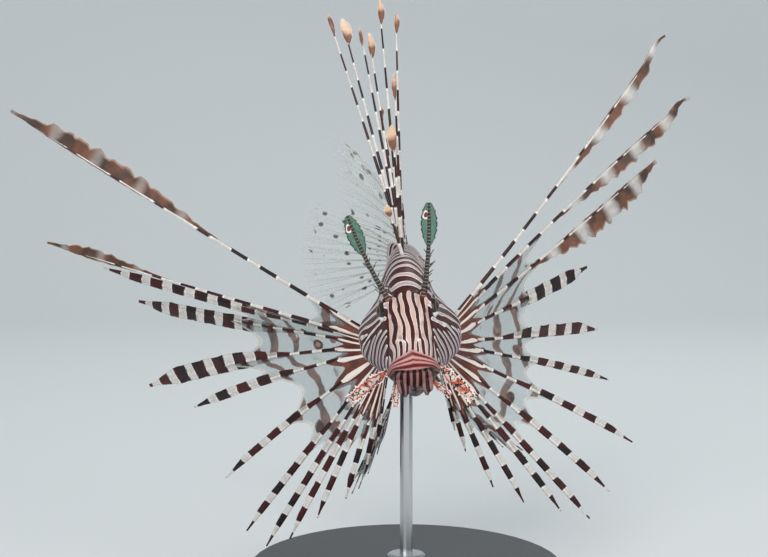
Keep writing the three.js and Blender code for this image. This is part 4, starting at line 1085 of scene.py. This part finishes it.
def spotted_look(name, clear, tint, run, size):
    """A clear web with dark spots in rows between the rays, brown bars and a pale free edge. clear is
    the web's alpha, run the spacing of the spots along a ray and size their radius in cells."""
    look = Look(name, Roughness=0.3, Coat_Weight=0.2)
    places = look.vector(look.value("cell"), look.times(look.value("run"), 1.0 / run))
    near = look.cells(1.0, places, randomness=0.8)
    spots = look.ease(size, size * 0.85, near)
    spots = look.times(spots, look.ease(0.40, 0.52, look.noise(60.0, 3.0)))
    middle = look.ease(size * 0.6, size * 0.4, near)
    reach = look.value("reach")
    bars = look.times(look.value("run"), 1 / WEB_BAR_PERIOD)
    bars = look.add(bars, look.times(look.noise(75.0, 2.0), 0.8))
    blotch = look.times(look.ease(0.25, 0.75, look.wave(bars)), look.ease(0.42, 0.62, reach))
    margin = look.ease(0.95, 0.99, reach)
    brown = look.mottled((0.045, 0.018, 0.014), (0.17, 0.065, 0.04), 150.0, low=0.4, high=0.6)
    colour = look.mix(look.most(spots, blotch), tint, brown)
    colour = look.mix(look.times(middle, spots), colour, (0.30, 0.20, 0.16))
    colour = look.mix(margin, colour, (0.70, 0.66, 0.60))
    alpha = look.add(clear, look.times(spots, 0.85 - clear))
    alpha = look.most(alpha, look.times(blotch, 0.66))
    alpha = look.most(alpha, look.times(margin, 0.45))
    look.set(Base_Color=colour, Alpha=alpha)
    return look


def soft_look():
    look = Look("soft_fin", Roughness=0.3, Coat_Weight=0.2)
    shaft = look.value("shaft")
    places = look.vector(look.value("cell"), look.times(look.value("run"), 1 / 6.5))
    spots = look.ease(0.30, 0.17, look.cells(1.0, places, randomness=0.5))
    colour = look.mix(shaft, (0.62, 0.68, 0.66), (0.66, 0.64, 0.58))
    colour = look.mix(spots, colour, (0.05, 0.045, 0.05))
    alpha = look.add(0.16, look.times(shaft, 0.22))
    alpha = look.most(alpha, look.times(spots, 0.62))
    look.set(Base_Color=colour, Alpha=alpha)
    return look


def foot_look():
    """The fleshy foot of the breast fins: red-brown with a cream stripe to each ray."""
    look = Look("fin_foot", Roughness=0.45, Coat_Weight=0.12)
    wave = look.wave(look.add(look.value("cell"), 0.25))
    wave = look.add(wave, look.wobble(130.0, 1.1))
    wave = look.add(wave, look.times(look.ease(0.72, 0.92, look.value("reach")), -1.6))
    stripe = look.ease(0.32, 0.48, wave)
    rim = look.times(look.ease(0.05, 0.25, wave), look.rest(stripe))
    colour = look.mottled((0.18, 0.042, 0.020), (0.095, 0.019, 0.011), 120.0)
    colour = look.mix(look.times(rim, 0.8), colour, (0.02, 0.006, 0.005))
    colour = look.mix(stripe, colour, (0.85, 0.74, 0.66))
    look.set(Base_Color=colour)
    return look


def eye_look():
    look = Look("eye", Roughness=0.06, Coat_Weight=0.3, Coat_Roughness=0.02, Specular_IOR_Level=0.3)
    gaze = look.value("gaze")
    pupil = look.ease(0.43, 0.40, gaze)
    ring = look.times(look.ease(0.40, 0.44, gaze), look.ease(0.56, 0.5, gaze))
    iris = look.mottled((0.022, 0.008, 0.007), (0.006, 0.012, 0.012), 700.0, 4.0, low=0.4)
    # Partly the pale lower edge of the eye and partly a painted catchlight: the eyeball outside the iris is
    # coloured near white on its lower side.
    pale_edge_and_catchlight = look.times(look.ease(0.42, 0.48, gaze), look.ease(0.2, 0.3, look.value("under")))
    colour = look.mix(ring, iris, (0.16, 0.08, 0.03))
    colour = look.mix(pupil, colour, (0.004, 0.004, 0.005))
    colour = look.mix(pale_edge_and_catchlight, colour, (0.80, 0.78, 0.78))
    look.set(Base_Color=colour)
    return look


def stalk_look():
    look = Look("tentacle_stalk", Roughness=0.45)
    wave = look.wave(look.times(look.value("run"), 1 / TENTACLE["ring"]))
    rings = look.ease(0.45, 0.8, look.add(wave, look.wobble(500.0, 0.8)))
    low = look.ease(0.02, 0.22, look.value("reach"))
    pale = look.mix(low, (0.42, 0.15, 0.12), (0.20, 0.16, 0.12))
    dark = look.mix(low, (0.10, 0.018, 0.016), (0.012, 0.011, 0.012))
    look.set(Base_Color=look.mix(rings, dark, pale))
    return look


def leaf_look():
    look = Look("tentacle_leaf", Roughness=0.35, Coat_Weight=0.2)
    edge = look.math("ABSOLUTE", look.value("edge"))
    rim = look.ease(0.8, 0.92, edge)
    rib = look.ease(0.26, 0.16, edge)
    reach = look.value("reach")
    across = look.add(look.value("edge"), 0.45)
    up = look.times(look.add(reach, -0.72), 4.2)
    far = look.math("SQRT", look.add(look.times(across, across), look.times(up, up)))
    spot = look.ease(0.3, 0.24, far)
    halo = look.ease(0.46, 0.4, far)
    colour = look.mix(look.noise(300.0, 3.0), (0.01, 0.09, 0.045), (0.03, 0.20, 0.10))
    colour = look.mix(halo, colour, WHITE)
    colour = look.mix(spot, colour, (0.16, 0.03, 0.02))
    colour = look.mix(rib, colour, (0.02, 0.018, 0.02))
    colour = look.mix(rim, colour, (0.008, 0.03, 0.018))
    solid = look.most(look.most(rim, rib), halo)
    look.set(Base_Color=colour, Alpha=look.add(0.58, look.times(solid, 0.4)))
    return look


def flap_look():
    look = Look("flap", Roughness=0.5, Coat_Weight=0.1)
    edge = look.math("ABSOLUTE", look.value("edge"))
    curls = look.math("ABSOLUTE", look.add(look.noise(330.0, 2.0), -0.5))
    ink = look.ease(0.045, 0.02, curls)
    colour = look.mottled((0.72, 0.56, 0.48), (0.50, 0.10, 0.035), 150.0, low=0.52, high=0.6)
    colour = look.mix(ink, colour, (0.022, 0.010, 0.010))
    margin = look.times(look.ease(0.5, 0.66, edge), look.ease(0.84, 0.74, edge))
    margin = look.times(margin, look.ease(0.36, 0.52, look.noise(260.0)))
    colour = look.mix(margin, colour, (0.46, 0.04, 0.018))
    colour = look.mix(look.ease(0.78, 0.88, edge), colour, (0.88, 0.80, 0.76))
    look.set(Base_Color=colour)
    return look


def spine_leaf_look():
    look = Look("spine_leaf", Roughness=0.45)
    up = look.add(look.value("reach"), look.wobble(260.0, 0.5, 3.0))
    up = look.add(up, look.times(look.value("tan"), -0.5))
    low = look.mix(look.noise(400.0, 2.0), (0.12, 0.04, 0.025), (0.26, 0.11, 0.06))
    colour = look.mix(look.ease(0.3, 0.62, up), low, (0.72, 0.48, 0.31))
    colour = look.mix(look.ease(0.72, 0.95, up), colour, (0.80, 0.66, 0.52))
    colour = look.mix(look.ease(0.86, 0.95, look.value("edge")), colour, (0.80, 0.70, 0.62))
    look.set(Base_Color=colour)
    return look


# Dressing
looks = {
    "skin": skin_look(),
    "rays": banded_look("fin_rays", duty=0.2, clear=0.36),
    "spines": banded_look("back_spines", duty=0.05, clear=0.35, dark=(0.06, 0.02, 0.018)),
    "web": spotted_look("fin_web", clear=0.34, tint=(0.34, 0.40, 0.40), run=11.0, size=0.34),
    "pelvic_web": spotted_look("belly_fin_web", clear=0.62, tint=(0.04, 0.08, 0.11), run=8.0, size=0.3),
    "soft": soft_look(),
    "foot": foot_look(),
    "eye": eye_look(),
    "stalk": stalk_look(),
    "leaf": leaf_look(),
    "flap": flap_look(),
    "spine_leaf": spine_leaf_look(),
}

settle(skin_piece(), looks["skin"], "skin", "head", "jaw_lower", "trunk", "tail_stem")

for side_name in SIDES:
    rays, webs, foot = pectoral_pieces(side_name)
    node = f"pectoral_fin_{side_name}"
    settle(rays.build(f"pectoral_rays_{side_name}"), looks["rays"], "fin_banded", node)
    settle(webs.build(f"pectoral_web_{side_name}"), looks["web"], "fin_clear", node)
    settle(foot.build(f"pectoral_foot_{side_name}"), looks["foot"], "skin", node)
    rays, webs = pelvic_pieces(side_name)
    node = f"pelvic_fin_{side_name}"
    settle(rays.build(f"pelvic_rays_{side_name}"), looks["rays"], "fin_banded", node)
    settle(webs.build(f"pelvic_web_{side_name}"), looks["pelvic_web"], "fin_clear", node)
    stalk, leaf = tentacle_pieces(side_name)
    node = f"tentacle_{side_name}"
    settle(stalk.build(f"tentacle_stalk_{side_name}"), looks["stalk"], "tentacle", node)
    settle(leaf.build(f"tentacle_leaf_{side_name}"), looks["leaf"], "tentacle", node)
    for flap in FLAPS:
        piece = flap_piece(side_name, flap).build(f"{flap['name']}_skin_{side_name}")
        settle(piece, looks["flap"], "flap", f"{flap['name']}_{side_name}")

rays, webs, leaves = spiny_dorsal()
settle(rays.build("back_spines"), looks["spines"], "fin_banded", "dorsal_fin_spiny")
settle(webs.build("back_web"), looks["web"], "fin_clear", "dorsal_fin_spiny")
settle(leaves.build("back_leaves"), looks["spine_leaf"], "fin_banded", "dorsal_fin_spiny")
soft_fins = {"dorsal_fin_soft": soft_paths(SOFT_DORSAL), "anal_fin": soft_paths(ANAL),
             "caudal_fin": caudal_paths()}
for name, paths in soft_fins.items():
    settle(soft_pieces(paths).build(f"{name}_web"), looks["soft"], "fin_clear", name)


def eye_piece(side_name):
    centre, look, one, other = eye_frame(SIDES[side_name])
    polar = down(60, 0, np.pi)[..., None]
    turn = np.linspace(0, 2 * np.pi, 80, endpoint=False)[None, :, None]
    direction = look * np.cos(polar) + np.sin(polar) * (one * np.cos(turn) + other * np.sin(turn))
    piece = Pieces()
    piece.grid(centre + EYE["radius"] * direction, closed=True, gaze=polar[..., 0], under=-direction[..., 2])
    return piece.build(f"eyeball_{side_name}")


for side_name in SIDES:
    settle(eye_piece(side_name), looks["eye"], "eye", f"eye_{side_name}")

# Stand
stand_looks = {
    "stand_base": Look("stand_plastic", Base_Color=(0.028, 0.03, 0.033), Roughness=0.42),
    "stand_rod": Look("stand_steel", Base_Color=(0.55, 0.56, 0.57), Metallic=1.0, Roughness=0.28),
}
for node, look in stand_looks.items():
    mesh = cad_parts[node].data
    mesh.materials.clear()
    mesh.materials.append(look.material)

# Room: a pale floor that rises into a pale wall, and lamps, all placed in metres
FISH_MIDDLE = (0.0, 0.0, 0.15)
floor_look = Look("room", Base_Color=(0.74, 0.76, 0.76), Roughness=0.9)
ROOM = {"half_width": 4.0, "front": -3.0, "back": 1.2, "curve": 0.8, "height": 3.5}
profile = [(ROOM["front"], 0.0), (ROOM["back"], 0.0)]
for bend in np.linspace(0.1, math.pi / 2, 16):
    profile.append((ROOM["back"] + ROOM["curve"] * math.sin(bend), ROOM["curve"] * (1 - math.cos(bend))))
profile.append((ROOM["back"] + ROOM["curve"], ROOM["height"]))
room = Pieces()
room.grid(np.array([[(x, y, z) for x in (-ROOM["half_width"], ROOM["half_width"])] for y, z in profile]))
floor = room.build("room", world=False)
floor.data.materials.append(floor_look.material)


def area_light(name, place, size, power):
    """A soft lamp turned to the middle of the fish."""
    light = bpy.data.lights.new(name, "AREA")
    light.shape = "RECTANGLE"
    light.size, light.size_y = size
    light.energy = power
    lamp = bpy.data.objects.new(name, light)
    lamp.location = place
    lamp.rotation_euler = (Vector(FISH_MIDDLE) - Vector(place)).to_track_quat("-Z", "Y").to_euler()
    bpy.context.scene.collection.objects.link(lamp)


bpy.context.scene.view_settings.view_transform = "Standard"
area_light("key", (-0.5, -1.6, 1.1), (0.9, 0.7), 22)
area_light("fill", (1.2, -0.9, 0.5), (1.0, 1.0), 7)
area_light("rim", (0.3, 1.0, 1.2), (1.2, 0.6), 5)
world = bpy.data.worlds.new("studio")
bpy.context.scene.world = world
world.use_nodes = True
sky = world.node_tree.nodes["Background"].inputs
sky["Color"].default_value = (0.82, 0.9, 0.95, 1)
sky["Strength"].default_value = 0.5

camera = bpy.data.cameras.new("camera")
camera.lens = 79.07
camera.sensor_width = 36.0
camera.clip_end = 20.0
eye_point = bpy.data.objects.new("camera", camera)
eye_point.location = (-0.01047, -0.78235, 0.20846)
eye_point.rotation_euler = (math.radians(85.5), 0, 0)
bpy.context.scene.collection.objects.link(eye_point)
bpy.context.scene.camera = eye_point
